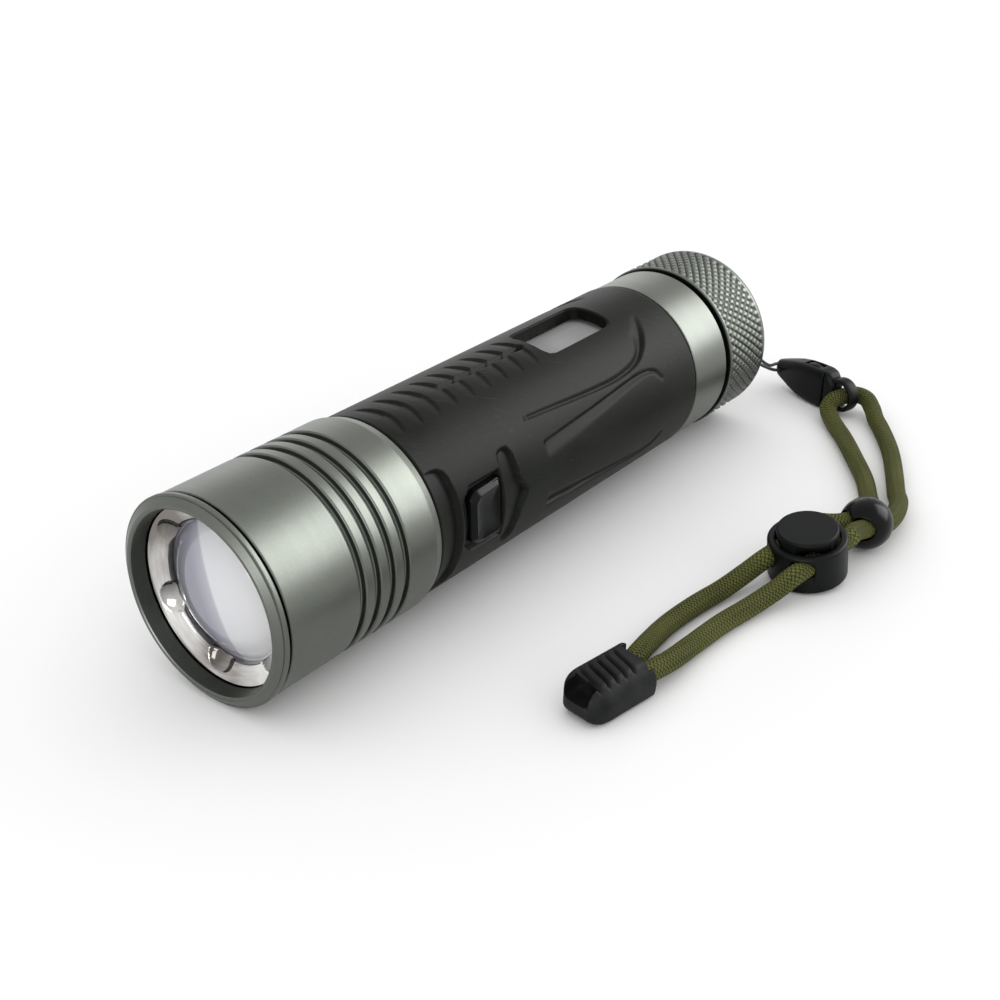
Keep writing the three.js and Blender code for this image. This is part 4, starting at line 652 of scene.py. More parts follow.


# %% [markdown]
# ## The lens
# The lens is moulded clear plastic over a pale inside. It could be pure glass, but then it would
# show only what is in the scene, which has no room to reflect. So it is mostly milky, with a
# little light passing through, and a reflection is painted on it: a soft edge across it parts a
# white half from a lavender grey one.

# %% Lens glass
def make_lens_glass():
    """Moulded lens over a pale inside, with a reflection painted on it: milky white on the side of
    the button, and lavender grey on the other, with a straight edge between the two."""
    m = Nodes("lens_glass")
    place = m.add("ShaderNodeSeparateXYZ", {0: m.coords.outputs["Object"]}).outputs
    sideways = m.math("MULTIPLY", place[0], 0.947)
    upwards = m.math("MULTIPLY", m.math("SUBTRACT", place[2], 0.02), 0.32)
    across = m.math("ADD", sideways, upwards)
    across = m.math("ADD", across, m.math("MULTIPLY", m.math("ADD", place[1], 0.0755), 0.9))
    # share runs across the painted reflection: white past the edge, darkening lavender grey before it.
    share = m.math("ADD", m.math("MULTIPLY", across, 40.0), 0.485)
    m.set(
        Base_Color=m.ramp(
            share,
            [
                (0.1, (0.19, 0.19, 0.22)), (0.36, (0.36, 0.36, 0.43)), (0.49, (0.55, 0.55, 0.62)),
                (0.515, (0.84, 0.85, 0.88)), (0.9, (0.93, 0.93, 0.94)),
            ],
        ),
        Transmission_Weight=0.22,
        IOR=1.49,
        Roughness=0.03,
    )
    return m.done()


lens_glass = make_lens_glass()


# %% [markdown]
# ## The milled flat
# Through the grip's window a flat shows that was milled on the tube. It is paler than the turned
# metal and has straight lines from the cutter.

# %% Milled flat
def make_flat_metal():
    """The milled flat under the window: paler than the tube, with straight milling lines."""
    m = Nodes("milled_flat")
    lines = m.noise(m.stretched(7000, 60, 60), 1.0, 2.0)
    m.set(
        Base_Color=m.ramp(lines, [(0.2, grey(0.22)), (0.8, grey(0.33))]),
        Metallic=0.35,
        Roughness=m.math("ADD", 0.42, m.math("MULTIPLY", lines, 0.15)),
    )
    m.bump(lines, 0.15, 0.02)
    return m.done()


milled_flat = make_flat_metal()


# %% [markdown]
# ## Finishes for the inside
# The boards, springs and cell are never seen while the torch is shut. Each still has the colour
# of the real thing and a fine mottle, in case it is opened or cut.

# %% Plain finish
def make_plain(name, colour, roughness, metallic=0.0, scale=1500):
    """A finish for the hidden pieces: a colour with a fine mottle."""
    m = Nodes(name)
    mottle = m.noise(m.stretched(scale, scale, scale), 1.0, 3.0)
    low, high = (tuple(c * k for c in colour) for k in (0.82, 1.12))
    m.set(Base_Color=m.ramp(mottle, [(0.3, low), (0.7, high)]), Metallic=metallic, Roughness=roughness)
    return m.done()


# %% [markdown]
# ## The weave of the cord
# The cord is braided from ten yarns each way, which pass over and under each other. The yarns
# could be modelled one by one, at the cost of millions of faces. Here they are drawn in the
# tube's own map, as two sets of slanting bands with a chequer that says which is on top, and
# their height bends the light.

# %% Woven cord
def make_woven_cord():
    """Braided nylon: two crossing sets of yarns, over one and under one. In the (u, v) of the tube,
    yarns climb at plus and minus the braid angle, and the one on top alternates in a chequer."""
    m = Nodes("woven_cord")
    parts = m.add("ShaderNodeSeparateXYZ", {0: m.coords.outputs["UV"]}).outputs
    carriers = 10.0
    pitch = 8.5
    fibres = 2 * math.pi * 4
    turn = m.math("MULTIPLY", parts[0], carriers)
    climb = m.math("MULTIPLY", parts[1], carriers / pitch)
    one, two = m.math("ADD", turn, climb), m.math("SUBTRACT", turn, climb)
    bulge = lambda x: m.math("SINE", m.math("MULTIPLY", m.math("FRACT", x), math.pi))
    parity = lambda x: m.math("FLOORED_MODULO", m.math("FLOOR", x), 2.0)
    on_top = m.math("ABSOLUTE", m.math("SUBTRACT", parity(one), parity(two)))
    first = m.math("MULTIPLY", bulge(one), on_top)
    second = m.math("MULTIPLY", bulge(two), m.math("SUBTRACT", 1.0, on_top))
    height = m.math("POWER", m.math("ADD", first, second), 0.6)
    fibres_one = m.math("SINE", m.math("MULTIPLY", two, fibres))
    fibres_two = m.math("SINE", m.math("MULTIPLY", one, fibres))
    inputs = {0: on_top, 2: fibres_two, 3: fibres_one}
    fibre = m.add("ShaderNodeMix", inputs, data_type="FLOAT").outputs[0]
    inputs = {0: m.math("MULTIPLY", parts[0], 5.0), 1: m.math("MULTIPLY", parts[1], 0.06)}
    stain = m.noise(m.add("ShaderNodeCombineXYZ", inputs).outputs[0], 1.0, 4.0)
    # The colour follows the yarns' height too: the low gaps between yarns are painted shade, and the
    # stain noise is the cord's own tone.
    tone = m.math("ADD", m.math("MULTIPLY", height, 0.55), m.math("MULTIPLY", stain, 0.4))
    tone = m.math("ADD", tone, m.math("MULTIPLY", fibre, 0.05))
    m.set(
        Base_Color=m.ramp(
            tone,
            [(0.24, (0.004, 0.005, 0.001)), (0.48, (0.052, 0.06, 0.0125)), (0.78, (0.185, 0.192, 0.055))],
        ),
        Roughness=0.75,
        Specular_IOR_Level=0.1,
    )
    m.bump(m.math("ADD", height, m.math("MULTIPLY", fibre, 0.12)), 1.0, 0.45)
    return m.done()


woven_cord = make_woven_cord()


# %% [markdown]
# ## The thread
# The thin loop on the cap is hard twisted thread. Slanting ridges in its map stand for the twist.

# %% Twisted thread
def make_thread():
    """Black twisted thread, with its lay as slanting ridges."""
    m = Nodes("thread")
    parts = m.add("ShaderNodeSeparateXYZ", {0: m.coords.outputs["UV"]}).outputs
    lay = m.math("ADD", m.math("MULTIPLY", parts[0], 3.0), m.math("MULTIPLY", parts[1], 1.6))
    ridge = m.math("ABSOLUTE", m.math("SINE", m.math("MULTIPLY", lay, math.pi)))
    # The ridge sets the colour as well: the grooves of the lay are painted shade, and the crests are
    # lighter.
    m.set(Base_Color=m.ramp(ridge, [(0.0, grey(0.003)), (1.0, grey(0.02))]), Roughness=0.7)
    m.bump(ridge, 0.8, 0.1)
    return m.done()


thread_finish = make_thread()


# %% [markdown]
# ## Finishes on the CAD nodes
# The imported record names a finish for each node. Every node gets its material from that name
# first. Those that a finer piece stands for are hidden later, when the piece is made.

# %% Give each node its finish
finishes = {
    "brass": make_plain("brass_finish", (0.6, 0.42, 0.12), 0.3, 1.0),
    "bare_aluminium": make_plain("aluminium_finish", grey(0.5), 0.4, 1.0),
    "circuit_board": make_plain("board_finish", (0.015, 0.12, 0.05), 0.45),
    "led_board": make_plain("led_board_finish", grey(0.75), 0.5),
    "phosphor": make_plain("phosphor_finish", (0.8, 0.6, 0.05), 0.3),
    "cell": make_plain("cell_finish", (0.06, 0.1, 0.14), 0.35),
    "gunmetal": gunmetal,
    "grip": grip_plastic,
    "seal": seal_rubber,
    "mirror": polished,
    "lens_glass": lens_glass,
    "black_plastic": black_plastic,
    "cord": woven_cord,
    "thread": thread_finish,
}
for entry in frame["record"]["subparts"]:
    data = frame["nodes"][entry["node"]].data
    data.materials.clear()
    data.materials.append(finishes[entry["material_slot"]])


# %% [markdown]
# ## The front ring
# The bezel is a ring that screws into the head and holds the lens. In front it has a narrow lip,
# a wide slanting face and a thin dark seam behind. All of it is one outline turned round the
# axis, closed on itself, and the gasket in the seam is a second one.

# %% Bezel and its gasket
def make_bezel():
    """Outlines are [radius, station] loops, with a fillet's radius where a corner has its own."""
    lathe(
        "bezel",
        [
            (17.8, 3.2), (17.2, 3.2), (17.5, 0.22), (17.72, 0.0), (18.3, 0.0), (19.55, 0.85, 0.04),
            (19.56, 1.02, 0.03), (20.0, 1.08), (20.0, 1.9), (18.5, 1.9), (18.5, 8.0), (17.8, 8.0),
        ],
        "head", ["bezel_ring"], gunmetal, "gunmetal", close=True, radius=0.1,
    )
    lathe(
        "bezel_gasket",
        [(18.8, 1.95), (19.2, 1.95), (19.2, 2.55), (18.8, 2.55)],
        "head", ["bezel_seal"], seal_rubber, "seal", close=True, radius=0.05,
    )


make_bezel()


# %% [markdown]
# ## The sliding barrel
# The barrel is what the hand pulls to zoom. Four grooves run round it, each with a steep front
# and a rounded back, and its rear edge is chamfered. The grooves are written by one loop over
# their back edges, because they are alike and evenly spaced.

# %% Barrel
def make_barrel():
    """A closed [radius, station] loop: the front, four grooves, the chamfer and the stepped bore."""
    side, floor = 19.8, 18.6
    outline = [(18.8, 2.65), (19.65, 2.65), (19.8, 2.85)]
    for back in (20.52, 24.28, 28.04, 31.8):
        outline += [(side, back - 1.6, 0.3), (floor, back - 1.5, 0.3)]
        outline += [(floor, back - 0.1, 0.3), (side, back, 0.35)]
    outline += [(side, 39.0, 1.5), (19.2, 41.0, 0.3), (16.7, 41.0), (16.7, 33.4)]
    outline += [(17.3, 33.4), (17.3, 11.1), (15.2, 11.1), (15.2, 9.9), (18.8, 9.9)]
    lathe(
        "barrel", outline, "head", ["head_barrel"], gunmetal, "gunmetal",
        segments=256, close=True, radius=0.2,
    )


make_barrel()


# %% [markdown]
# ## The lens's shape
# A zoom torch has a deep plano-convex lens. A squashed sphere would look almost right, but a real
# lens is ground to one radius, so its outline is an arc of a circle.

# %% Front lens
def make_lens():
    """A spherical cap: with radius r and rise h, its curvature is (r^2 + h^2) / 2h. A flange holds it."""
    radius, rise, flange = 13.2, 5.2, 6.5
    curvature = (radius**2 + rise**2) / (2 * rise)
    turn = np.linspace(0, math.asin(radius / curvature), 40)
    dome = [(curvature * math.sin(t), flange - rise + curvature * (1 - math.cos(t))) for t in turn[1:]]
    outline = [(0.0, flange - rise)] + dome + [(17.5, flange), (17.5, 8.0), (0.0, 8.0)]
    lathe("front_lens", outline, "head", ["lens"], lens_glass, "lens_glass", radius=0.1)


make_lens()


# %% [markdown]
# ## The ring with six dimples
# Between the bezel and the lens is a polished slope with six scallops cut into its inner edge. A
# boolean could cut them, but it would leave a ragged edge on so small a part. Here the points
# inside each scallop are moved back, and the grid stays whole.

# %% Lens surround
def make_lens_ring():
    """The polished slope round the lens. Six elliptical dimples are scooped from its inner edge: where
    d is the squared distance from a dimple's centre in ellipse radii, a point moves back by
    1.2 * (1 - d)^0.6. The pit rises across each dimple, so that shade is painted on one side of it."""
    inner, half_high, half_wide = 13.6, 3.1, 3.0
    slope = [(17.1 - 3.2 * t, 3.5 + 1.35 * t) for t in np.linspace(0, 1, 24)]
    outline = np.array([(17.5, 6.2), (17.5, 3.9), *slope, (13.6, 5.1), (13.5, 5.5), (13.5, 6.2)])
    angle = np.linspace(0, 2 * np.pi, 360, endpoint=False)
    radius = np.broadcast_to(outline[:, :1], (len(outline), len(angle)))
    station = np.broadcast_to(outline[:, 1:], radius.shape).copy()
    pit = np.zeros(radius.shape)
    for centre in np.radians(np.arange(6, 366, 60)):
        away = (angle - centre + np.pi) % (2 * np.pi) - np.pi
        d = ((radius - 13.3) / half_high) ** 2 + (away[None, :] * inner / half_wide) ** 2
        station += np.where(outline[:, 1:] < 5.6, 1.2 * np.clip(1 - d, 0, 1) ** 0.6, 0)
        shade = 0.55 + 0.4 * np.clip(away * inner / half_wide, -1, 1)
        pit = np.where(d < 1, np.maximum(pit, shade[None, :]), pit)
    points = turned(radius, np.minimum(station, 6.1), angle[None, :])
    points[0] = turned(17.5, 6.2, angle)
    points[-1] = turned(13.5, 6.2, angle)
    mesh = grid_mesh("lens_surround", points, close_rows=True, close_columns=True, pit=pit)
    weld(mesh)
    add_object("lens_surround", mesh, "head", ["lens_ring"], polished)


make_lens_ring()


# %% [markdown]
# ## The neck
# When the head is drawn out, the neck that it slides on is seen behind it: a plain tube with a
# raised flange in front, in which a friction ring sits in a groove. It is turned as the rest of
# the head is, so that its edges catch the light too.

# %% Neck
lathe(
    "neck",
    [
        (14.25, 15.5), (17.05, 15.5), (17.05, 17.35), (15.45, 17.35), (15.45, 19.25), (17.05, 19.25),
        (17.05, 21.1), (16.45, 21.1), (16.45, 41.3), (14.6, 41.3), (14.6, 47.6), (12.4, 47.6),
        (12.4, 39.4), (14.25, 37.55),
    ],
    "handle", ["neck_tube"], gunmetal, "gunmetal", close=True, radius=0.12,
)


# %% [markdown]
# ## The battery tube
# One long tube carries everything. Behind the grip it widens to a bright collar, a spigot with a
# groove for the seal goes into the cap, and two flats are milled on it: one under the window and
# one for the switch. The flats could be cut by a boolean, but a milled flat is only a limit on
# the radius: level divided by the cosine of the angle from its middle.

# %% Battery tube
WINDOW_FLAT = 15.4
SWITCH_FLAT = 12.2


def make_tube():
    """A turned loop whose radius, within each flat, is at most level / cos(angle from its middle)."""
    outline = [(14.9, 41.6), (16.3, 41.6), (16.3, 49.1), (16.3, 49.16), (16.3, 60.14), (16.3, 60.2)]
    outline += [(16.3, 86.9), (16.3, 86.96), (16.3, 114.04), (16.3, 114.1), (16.3, 128.3), (18.75, 128.3)]
    outline += [(18.9, 128.45), (18.9, 140.8), (18.55, 141.15), (16.4, 141.15), (16.4, 142.5)]
    outline += [(15.2, 142.5), (15.2, 143.9), (16.4, 143.9), (16.4, 151.1), (16.0, 151.5)]
    outline += [(13.7, 151.5), (13.7, 66.7), (11.2, 66.7), (11.2, 47.9), (14.9, 47.9)]
    profile = filleted(outline, 0.15)
    angle = np.linspace(0, 2 * np.pi, 256, endpoint=False)
    radius = np.broadcast_to(profile[:, :1], (len(profile), len(angle))).copy()
    station = np.broadcast_to(profile[:, 1:], radius.shape)
    for middle, first, last, level, half in (
        (TOP_ANGLE, 86.93, 114.07, WINDOW_FLAT, 16.0),
        (SIDE_ANGLE, 49.13, 60.17, SWITCH_FLAT, 4.8),
    ):
        away = (angle - math.radians(middle) + np.pi) % (2 * np.pi) - np.pi
        flat = level / np.maximum(np.cos(away), 0.2)
        inside = (station > first) & (station < last) & (np.abs(radius * np.sin(away)) < half)
        inside &= (np.abs(away) < 1.3)[None, :] & (radius > level)
        radius = np.where(inside, np.minimum(radius, flat[None, :]), radius)
    points = turned(radius, station, angle[None, :])
    mesh = grid_mesh("tube", points, close_rows=True, close_columns=True)
    add_object("tube", mesh, "handle", ["battery_tube"], gunmetal)
    mesh.materials.append(milled_flat)
    centres = np.empty(len(mesh.polygons) * 3)
    mesh.polygons.foreach_get("center", centres)
    x, y, z = centres.reshape(-1, 3).T / MM
    up = math.radians(TOP_ANGLE)
    level = x * math.sin(up) + (z - AXIS_HEIGHT) * math.cos(up)
    station = y + TOTAL / 2
    is_flat = (np.abs(level - WINDOW_FLAT) < 0.05) & (station > 87) & (station < 114)
    mesh.polygons.foreach_set("material_index", is_flat.astype(np.int32))


make_tube()


# %% [markdown]
# ## The seal on the spigot
# A rubber ring in the spigot's groove keeps water out of the battery. It is seen only while the
# cap is being unscrewed. Its surface is a torus, the shape of every such ring.

# %% Tail seal
def make_seal_ring(name, middle, section, station, body, node, count=160):
    """A torus: radius middle + section * cos(v) at station + section * sin(v), for every angle u."""
    u = np.linspace(0, 2 * np.pi, count, endpoint=False)[None, :]
    v = np.linspace(0, 2 * np.pi, 24, endpoint=False)[:, None]
    points = turned(middle + section * np.cos(v), station + section * np.sin(v), u)
    mesh = grid_mesh(name, points, close_rows=True, close_columns=True)
    weld(mesh)
    add_object(name, mesh, body, [node], seal_rubber)


make_seal_ring("tail_gasket", 15.9, 0.65, 143.2, "tail_seal", "tail_seal")


# %% [markdown]
# ## The tail cap and its diamond knurl
# The cap is turned, and its side is knurled: two hard wheels press slanting grooves into it, one
# set to the left and one to the right, and small diamonds stay between them. A bump in the
# material could hint at them, but the edge of the cap would stay smooth against the background.
# So the grooves are real, and sink the radius of a fine grid.

# %% The knurl's grooves
CAP_RADIUS = 19.4
KNURL_AROUND = 60
KNURL_PITCH = 2 * math.pi * CAP_RADIUS / KNURL_AROUND
KNURL_LENGTH = 1.28 * KNURL_PITCH
KNURL_HALF_WIDTH = 0.34
KNURL_DEPTH = 0.42
KNURL_FRONT = 142.85
KNURL_BACK = 156.6


def knurl_depth(angle, station):
    """Two crossed sets of helical grooves, u + v and u - v, with u in grooves round the cap and v in
    diamond lengths along it. A point x mm from the nearest groove's middle lies
    depth * (1 - x / half width) deep, and both ends of the knurl fade out over half a millimetre."""
    u = angle * KNURL_AROUND / (2 * np.pi)
    v = (station - KNURL_FRONT) / KNURL_LENGTH
    deep = np.zeros(np.broadcast(u, v).shape)
    for phase in (u + v, u - v):
        away = np.abs(phase - np.round(phase)) / math.hypot(1 / KNURL_PITCH, 1 / KNURL_LENGTH)
        deep = np.maximum(deep, np.clip(1 - away / KNURL_HALF_WIDTH, 0, 1))
    fade = np.clip((station - KNURL_FRONT) / 0.5, 0, 1) * np.clip((KNURL_BACK - station) / 0.5, 0, 1)
    return KNURL_DEPTH * deep * fade


# %% Tail cap
def make_cap():
    """A closed [radius, station] loop, less the knurl, with two holes for the thread in its rim. A
    point of the rim that is within a hole's radius of its middle is sunk to the hole's floor."""
    front = [(16.7, 145.0), (16.7, 142.3), (19.1, 142.3), (CAP_RADIUS, 142.6), (CAP_RADIUS, 142.8)]
    front = filleted(front, 0.12)
    knurled = [(CAP_RADIUS, s) for s in np.linspace(KNURL_FRONT, KNURL_BACK, 72)]
    edge, turn = 2.4, np.linspace(0, math.pi / 2, 10)
    back = [(CAP_RADIUS - edge * (1 - math.cos(t)), 156.7 + edge * math.sin(t)) for t in turn]
    rim = [(r, TOTAL) for r in np.arange(16.8, 12.4, -0.22)]
    dish = filleted([(12.0, TOTAL), (10.5, TOTAL), (10.5, 157.9), (8.0, 157.9)], 0.3)
    inside = [(0.0, 157.9), (0.0, 153.5), (16.7, 153.5)]
    profile = np.vstack([front, knurled, back, rim, dish, inside])
    angle = np.linspace(0, 2 * np.pi, KNURL_AROUND * 8, endpoint=False)
    radius = np.broadcast_to(profile[:, :1], (len(profile), len(angle))).copy()
    station = np.broadcast_to(profile[:, 1:], radius.shape).copy()
    outside = (radius > 19.0) & (station > KNURL_FRONT - 0.1)
    grooves = np.where(outside, knurl_depth(angle[None, :], station), 0)
    radius -= grooves
    circle, hole_radius, hole_floor = 14.6, 0.7, 157.5
    for side in (1.3, -1.3):
        middle = math.radians(102) + side / circle
        away = np.hypot(radius * np.sin(angle - middle), radius * np.cos(angle - middle) - circle)
        station = np.where((station > 159) & (away < hole_radius), hole_floor, station)
    points = turned(radius, station, angle[None, :])
    # The pit paints shade on the front face under the seam and in the knurl's grooves.
    pit = np.where((station < 142.4) & (radius < 19.2), 0.9, np.clip(1.1 * grooves / KNURL_DEPTH, 0, 1))
    mesh = grid_mesh("cap", points, close_rows=True, close_columns=True, pit=pit)
    weld(mesh)
    add_object("cap", mesh, "tail", ["tail_cap"], gunmetal)


make_cap()


# %% [markdown]
# ## The grip
# The grip is a moulded sleeve with ribs under the thumb, a slot, a window, long creases down its
# sides and a recess for the button. It could be sculpted, or cut with dozens of booleans. Here it
# is a height map: the sleeve is unrolled flat, each feature says how deep it lies at each place,
# and the deepest one wins. Only then is the sheet rolled up again. The lines of the grid lie
# closer together where there is more to show.

# %% Lines of the unrolled grid
# c is the arc from the top line, in mm on the grip's surface, and s is the station.
SIDE_ARC = math.radians(SIDE_ANGLE - TOP_ANGLE) * GRIP_RADIUS
HALF_ROUND = math.pi * GRIP_RADIUS


def grid_lines(spans, fine):
    """Places from spans of (start, stop, step), with more of them near each (place, reach, step)."""
    places = [np.arange(a, b, step) for a, b, step in spans]
    places += [np.arange(at - reach, at + reach + step / 2, step) for at, reach, step in fine]
    places = np.unique(np.round(np.concatenate(places), 3))
    low, high = spans[0][0], spans[-1][1]
    places = places[(places >= low) & (places <= high)]
    return places[np.concatenate([[True], np.diff(places) > 0.09])]


# %% Distances from outlines
def box_distance(x, y, half_x, half_y, corner):
    """Distance outside a rounded rectangle centred at 0, and negative inside it."""
    dx, dy = np.abs(x) - half_x + corner, np.abs(y) - half_y + corner
    return np.hypot(np.maximum(dx, 0), np.maximum(dy, 0)) + np.minimum(np.maximum(dx, dy), 0) - corner


def outline_distance(x, y, outline):
    """Distance outside a closed outline of points, and negative inside it."""
    points = np.array(outline, float)
    nearest = np.full(x.shape, 1e9)
    inside = np.zeros(x.shape, bool)
    for (ax, ay), (bx, by) in zip(points, np.roll(points, -1, 0)):
        ex, ey = bx - ax, by - ay
        t = np.clip(((x - ax) * ex + (y - ay) * ey) / (ex * ex + ey * ey), 0, 1)
        nearest = np.minimum(nearest, np.hypot(x - ax - t * ex, y - ay - t * ey))
        if ey != 0:
            inside ^= ((ay > y) != (by > y)) & (x < ax + (y - ay) * ex / ey)
    return np.where(inside, -nearest, nearest)


def outline_of(shares, half_width, start, length):
    """A closed outline from shares of a half width and a length, mirrored about its centre line."""
    half = [(across * half_width, start + along * length) for across, along in shares]
    return half + [(-x, y) for x, y in half[::-1] if x > 0]


def soft_step(x):
    """0 below 0, 1 above 1, and smooth between them: 3x^2 - 2x^3."""
    x = np.clip(x, 0, 1)
    return x * x * (3 - 2 * x)


# %% [markdown]
# ## Outlines on the grip
# The recess, the button and the two arrow shapes beside it are the same on their left and right,
# so each is written as half of an outline, in shares of its size, and mirrored. The button's hole
# is a little larger than the button, as a moulding's is.

# %% Outlines of the button's recess and the window
RECESS = outline_of([(0.6, 0), (1, 0.26), (1, 1)], 7.2, 47.8, 11.8)
BUTTON = outline_of([(0.74, 0), (0.95, 0.2), (1, 1)], 5.9, 50.4, 8.5)
BUTTON_HOLE = outline_of([(0.74, 0), (0.95, 0.2), (1, 1)], 6.2, 50.1, 9.1)
SCOOP = outline_of(
    [(1, 0), (1, 0.42), (0.98, 0.7), (0.9, 0.87), (0.78, 0.94), (0.4, 0.99), (0, 1)],
    13.2, 40.3, 6.7,
)
ARROW = outline_of(
    [(0.8, 0), (0.94, 0.06), (1, 0.28), (0.96, 0.5), (0.84, 0.6), (0.68, 0.62), (0.3, 0.7), (0, 1)],
    10.5, 60.0, 6.8,
)
# The window's middle station, half its width, half its length, and its corner's radius.
WINDOW = (100.5, 5.7, 11.0, 2.6)


# %% [markdown]
# ## Nine thumb ribs
# The ribs on top are not plain bars. Each is a crescent that falls away gently to the rear and
# ends at a steep wall, so that the thumb slides forward easily and grips going back.

# %% Ribs
RIB_FIRST = 46.4
RIB_PITCH = 5.03
RIB_HALF = 6.2
RIB_BOW = 1.7


def rib_depth(c, s):
    """Nine crescents. Each falls rearwards down a ramp to a crevice, and rises again at a steep wall.
    The crevice bows: its station is s0 - bow * (c / half)^2. The depth fades sideways as
    sqrt(1 - (c / half)^2)."""
    across = np.clip(1 - (c / RIB_HALF) ** 2, 0, 1)
    fade = np.sqrt(across)
    deep = np.zeros(c.shape)
    for k in range(9):
        x = s - (RIB_FIRST + RIB_PITCH * k - RIB_BOW * (c / RIB_HALF) ** 2)
        ramp = np.clip(1 + x / (3.6 * fade + 0.1), 0, 1) ** 1.9
        wall = np.clip(1 - x / 0.42, 0, 1)
        deep = np.maximum(deep, np.where(x < 0, ramp, soft_step(wall)))
    return np.where(c > 0, 0.34, 0.5) * fade * deep


# %% [markdown]
# ## Creases
# The long creases down the sides are steep on one side and fade out on the other, and their depth
# changes along the way. Each is a route on the unrolled sheet, with its widths and depths given
# from one end to the other.

# %% Creases along a route
def crease_depth(c, s, path, fall, wall, depth, side):
    """A groove along a path of [station, arc], with a wide fall on one side and a steep wall on the
    other. Each point takes its widths and depth from the nearest place on the path."""
    route = smooth_route([(a, side * b, 0) for a, b in path], 24)[:, :2]
    t = np.linspace(0, 1, len(route))
    pick = lambda values: np.interp(t, np.linspace(0, 1, len(values)), values)
    falls, walls, depths = pick(fall), pick(wall), pick(depth)
    low, high = route.min(0) - 4, route.max(0) + 4
    near = (s > low[0]) & (s < high[0]) & (c > low[1]) & (c < high[1])
    sx, cx = s[near], c[near]
    gap = (sx[:, None] - route[:, 0]) ** 2 + (cx[:, None] - route[:, 1]) ** 2
    k = gap.argmin(1)
    along = np.gradient(route, axis=0)
    along /= np.linalg.norm(along, axis=1)[:, None]
    across = ((cx - route[k, 1]) * along[k, 0] - (sx - route[k, 0]) * along[k, 1]) * side
    length = np.abs((sx - route[k, 0]) * along[k, 0] + (cx - route[k, 1]) * along[k, 1])
    width = np.where(across < 0, falls[k], walls[k])
    beyond = np.where((k == 0) | (k == len(route) - 1), length, 0)
    deep = depths[k] * soft_step(1 - np.abs(across) / width) * np.clip(1 - beyond / 0.6, 0, 1)
    out = np.zeros(c.shape)
    out[near] = deep
    return out


PANEL = [(71.3, 15.0), (102.3, 17.0), (110.3, 15.6), (114.9, 12.2), (118.3, 7.0)]
FLANK = [(74.3, 7.0), (91.3, 8.2), (109.9, 9.4), (113.3, 8.6), (115.3, 6.4)]
CREASE_WALL = [0.6] * 5


# %% The whole height map
SLOT_MIDDLE = 74.2
RECESS_DEPTH = 1.3


def grip_depth(c, s):
    """How far the grip's surface lies below its full radius: the greatest depth of any feature, plus
    the round-overs (1 - distance / reach)^2 at the holes and at both ends."""
    deep = rib_depth(c, s)
    jag = 0.2 * np.abs((s - RIB_FIRST) / RIB_PITCH % 1 - 0.5)
    slot = box_distance(np.abs(c) + jag, s - SLOT_MIDDLE, 0.75, 13.0, 0.3)
    deep = np.maximum(deep, 2.2 * soft_step(-slot / 0.25 + 0.4))
    side = c - SIDE_ARC
    for outline, floor in (
        (RECESS, RECESS_DEPTH),
        (SCOOP, RECESS_DEPTH * np.clip((s - GRIP_FRONT) / 5.7, 0, 1)),
        (ARROW, 0.43 + 0.87 * np.clip((s - 60.0) / 6.8, 0, 1)),
    ):
        inside = outline_distance(side, s, outline)
        deep = np.maximum(deep, floor * soft_step(-inside / 0.5 + 0.2))
    for sign in (1, -1):
        fall, depth = [0.8, 1.1, 1.8, 3.6, 1.0], [0.3, 0.5, 0.75, 0.85, 0.2]
        deep = np.maximum(deep, crease_depth(c, s, PANEL, fall, CREASE_WALL, depth, sign))
        fall, depth = [3.6, 2.4, 1.1, 0.9, 0.8], [0.85, 0.7, 0.45, 0.45, 0.25]
        for middle in (SIDE_ARC, -SIDE_ARC):
            flank = crease_depth(c - middle, s, FLANK, fall, CREASE_WALL, depth, sign)
            deep = np.maximum(deep, flank)
    window = box_distance(c, s - WINDOW[0], *WINDOW[1:])
    deep += 0.35 * np.clip(1 - window / 0.35, 0, 1) ** 2
    hole = outline_distance(side, s, BUTTON_HOLE)
    deep += 0.2 * np.clip(1 - hole / 0.25, 0, 1) ** 2
    deep += 0.4 * np.clip(1 - (s - GRIP_FRONT) / 0.5, 0, 1) ** 2
    deep += 0.4 * np.clip(1 - (GRIP_BACK - s) / 1.2, 0, 1) ** 2
    return deep


# %% [markdown]
# ## Holes in the sheet
# The window and the button's hole go right through. Cells inside a hole are left out of the grid.
# That alone would leave a jagged rim, so the points on the rim are pulled onto the outline, along
# the slope of the distance to it.

# %% Leave out the holes
def hole_distance(c, s):
    """Distance outside the window and the button's hole, and negative inside either."""
    window = box_distance(c, s - WINDOW[0], *WINDOW[1:])
    return np.minimum(window, outline_distance(c - SIDE_ARC, s, BUTTON_HOLE))


def punched_grid(c, s):
    """A grid whose cells inside a hole are dropped. Its rim is pulled onto the hole's outline by
    three Newton steps: p - d * slope / |slope|^2."""
    c, s = np.broadcast_arrays(c[None, :], s[:, None])
    c, s = c.copy(), s.copy()
    middle_c = (c[:-1, :-1] + c[1:, 1:]) / 2
    middle_s = (s[:-1, :-1] + s[1:, 1:]) / 2
    keep = hole_distance(middle_c, middle_s) > 0
    padded = np.pad(keep, 1, constant_values=True)
    corners = [padded[:-1, :-1], padded[:-1, 1:], padded[1:, :-1], padded[1:, 1:]]
    rim = np.logical_or.reduce(corners) & ~np.logical_and.reduce(corners)
    step = 0.01
    for _ in range(3):
        d = hole_distance(c, s)
        dc = (hole_distance(c + step, s) - d) / step
        ds = (hole_distance(c, s + step) - d) / step
        size = np.maximum(dc**2 + ds**2, 0.2)
        c = np.where(rim, c - d * dc / size, c)
        s = np.where(rim, s - d * ds / size, s)
    return c, s, keep, rim


